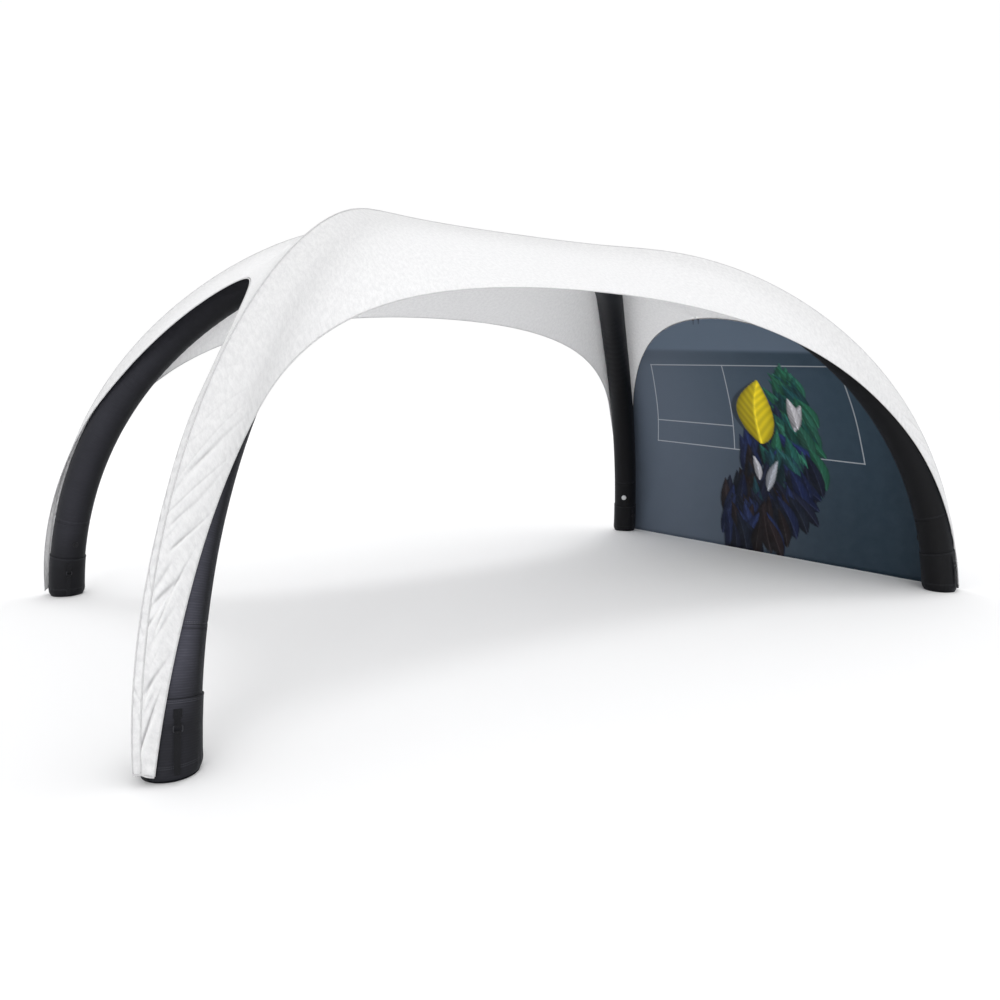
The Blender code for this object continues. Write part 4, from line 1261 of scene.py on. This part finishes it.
def valves(end, y_sign):
    """An inflation valve with its cap and poppet, and a relief valve, low on the inside of two legs."""
    flange = BLADDER_R - TUBE_R - 0.016
    turned = math.atan2(math.sin(VALVE_BEARING) * y_sign, math.cos(VALVE_BEARING) * y_sign)
    centre, _, outward = square_to_leg((y_sign, y_sign), VALVE_Z, turned)
    place = looking(centre + outward * TUBE_R, outward)
    body = ((0.012, 0.008), (0.026, 0.008), (0.0265, 0.0022), (0.018, 0.0022), (0.018, flange))
    body += ((0.028, flange), (0.028, flange - 0.003), (0.008, flange - 0.003), (0.008, flange))
    body += ((0.012, flange), (0.012, 0.008))
    obj = lathe(f"{end}_valve_body_moulding", rounded(body, 0.001), place, PLASTIC)
    finish_piece(obj, "tent", "valve_plastic", f"{end}_valve_body")
    poppet = ((0.0, 0.004), (0.004, 0.004), (0.004, 0.001), (0.0105, 0.001), (0.0105, -0.001), (0.0, -0.001))
    obj = lathe(f"{end}_valve_poppet_moulding", rounded(poppet, 0.0004), place, DARK_PLASTIC)
    finish_piece(obj, f"{end}_poppet", "valve_plastic", f"{end}_valve_poppet")
    cap = ((0.0, 0.0118), (0.009, 0.0120), (0.0105, 0.0134), (0.0215, 0.0134))
    cap += ((0.0255, 0.0118), (0.0262, 0.0088), (0.0, 0.0086))
    obj = lathe(f"{end}_valve_cap_moulding", rounded(cap, 0.001), place, PLASTIC, ribs=28, rib_depth=0.035)
    finish_piece(obj, f"{end}_cap", "valve_plastic", f"{end}_valve_cap")
    turned = math.atan2(math.sin(RELIEF_BEARING) * y_sign, -math.cos(RELIEF_BEARING) * y_sign)
    centre, _, outward = square_to_leg((-y_sign, y_sign), VALVE_Z, turned)
    place = looking(centre + outward * TUBE_R, outward)
    body = ((0.0095, 0.007), (0.020, 0.007), (0.0205, 0.0012), (0.014, 0.0012), (0.014, flange))
    body += ((0.024, flange), (0.024, flange - 0.003), (0.0095, flange - 0.003), (0.0095, 0.007))
    obj = lathe(f"{end}_relief_body_moulding", rounded(body, 0.001), place, DARK_PLASTIC)
    finish_piece(obj, "tent", "valve_plastic", f"{end}_relief_body")
    plunger = ((0.0, 0.0092), (0.005, 0.0095), (0.007, 0.010), (0.0085, 0.008))
    plunger += ((0.0085, -0.002), (0.0, -0.002))
    obj = lathe(f"{end}_relief_plunger_moulding", rounded(plunger, 0.0006), place, DARK_PLASTIC)
    finish_piece(obj, f"{end}_plunger", "valve_plastic", f"{end}_relief_plunger")


# Anchor straps


def eye(centre, start, end):
    """Webbing's path round a wire, between two angles in degrees."""
    turn = np.radians(np.linspace(start, end, 16))
    return [(centre[0] + EYE_R * math.cos(a), centre[1] + EYE_R * math.sin(a)) for a in turn]


def anchor_strap(corner):
    """A sewn loop on the boot, a wire buckle that swings in it, and a loose tail of webbing."""
    signs = SIGNS[corner]
    centre, tangent, outward = square_to_leg(signs, PIVOT_Z, math.radians(-90))
    origin = np.array(centre - tangent * PIVOT_Z / tangent.z)
    up, out = np.array(tangent), np.array(outward)
    across = np.cross(up, out)

    def placed(path):
        return np.array([origin + out * x + up * z for x, z in path])

    skin = BOOT_R + 0.0016
    pivot = (skin + PIVOT_OUT - 0.0003, PIVOT_Z)
    loop = [(skin, 0.266), (skin + 0.0006, 0.256), (skin + 0.0002, 0.244), (skin + 0.0004, PIVOT_Z + 0.016)]
    loop += eye(pivot, 150, 440)
    obj = ribbon(f"{corner}_strap_loop_web", catmull(placed(loop), 4), across)
    finish_piece(obj, "tent", "webbing", f"{corner}_strap_loop")
    patch = [(skin - 0.0012, 0.276), (skin + 0.0016, 0.272), (skin + 0.0022, 0.262)]
    patch += [(skin + 0.0018, 0.246), (skin - 0.0010, 0.240)]
    obj = ribbon(f"{corner}_strap_patch_web", catmull(placed(patch), 5), across, WEB_W + 0.008)
    finish_piece(obj, "tent", "webbing")

    outline = wire_outline(WEB_W / 2 + 0.005, -BUCKLE_DROP, 0.006)
    path = np.array([origin + out * pivot[0] + across * a + up * (pivot[1] + b) for a, b in outline])
    obj = tube(f"{corner}_buckle_wire", path, 0.0021, STEEL, sides=16, loop=True)
    finish_piece(obj, f"{corner}_strap", "buckle_steel", f"{corner}_buckle")
    tail = eye((pivot[0], PIVOT_Z - BUCKLE_DROP), -60, 230)
    tail += [(skin + 0.0050, 0.150), (skin + 0.0042, 0.120), (skin + 0.0056, 0.090), (skin + 0.0090, 0.060)]
    tail += [(skin + 0.0120, 0.040), (skin + 0.0165, 0.024)]
    obj = ribbon(f"{corner}_strap_tail_web", catmull(placed(tail), 5), across)
    finish_piece(obj, f"{corner}_strap", "webbing", f"{corner}_strap_tail")


# Studio


def sun_lamp(name, energy, spread, turn):
    """A distant lamp, soft by its spread in degrees."""
    sun = bpy.data.lights.new(name, "SUN")
    sun.energy = energy
    sun.angle = math.radians(spread)
    lamp = bpy.data.objects.new(name, sun)
    lamp.rotation_euler = turn
    bpy.context.scene.collection.objects.link(lamp)


def studio():
    """A plain pale floor, soft even light from all round, and the camera."""
    bpy.ops.mesh.primitive_plane_add(size=120, location=(0, 0, -0.0005))
    floor = bpy.context.object
    floor.name = "studio_floor"
    floor.data.materials.append(floor_paint())

    world = bpy.data.worlds.new("studio")
    bpy.context.scene.world = world
    world.use_nodes = True
    sky = world.node_tree.nodes["Background"].inputs
    sky["Color"].default_value = (1.0, 1.0, 1.0, 1)
    sky["Strength"].default_value = 1.01

    sun_lamp("overhead", 0.45, 18, (math.radians(-5), math.radians(9), 0))
    sun_lamp("fill", 0.75, 30, (math.radians(74), 0, CAMERA_YAW))

    camera = bpy.data.cameras.new("camera")
    camera.lens = LENS
    camera.sensor_width = 36
    camera.clip_end = 200
    obj = bpy.data.objects.new("camera", camera)
    level = math.cos(CAMERA_PITCH)
    ahead = Vector((-math.sin(CAMERA_YAW) * level, math.cos(CAMERA_YAW) * level, math.sin(CAMERA_PITCH)))
    obj.location = CAMERA_AT
    obj.rotation_euler = ahead.to_track_quat("-Z", "Y").to_euler()
    bpy.context.scene.collection.objects.link(obj)
    bpy.context.scene.camera = obj
    bpy.context.scene.view_settings.view_transform = "Standard"
    bpy.context.scene.view_settings.look = "None"


air_arches()
ridge_seams()
canopy()
front_foot = clear_of_arches(bezier(FRONT_EDGE, [0.0]), (AXIS,))[0]
side_foot = clear_of_arches(bezier(SIDE_EDGE, [0.0]), (AXIS,))[0]
for corner, signs in SIGNS.items():
    boot(corner)
    tip(corner, front_foot, side_foot)
    anchor_strap(corner)
for end, y_sign in ENDS.items():
    valves(end, y_sign)
wall()
studio()
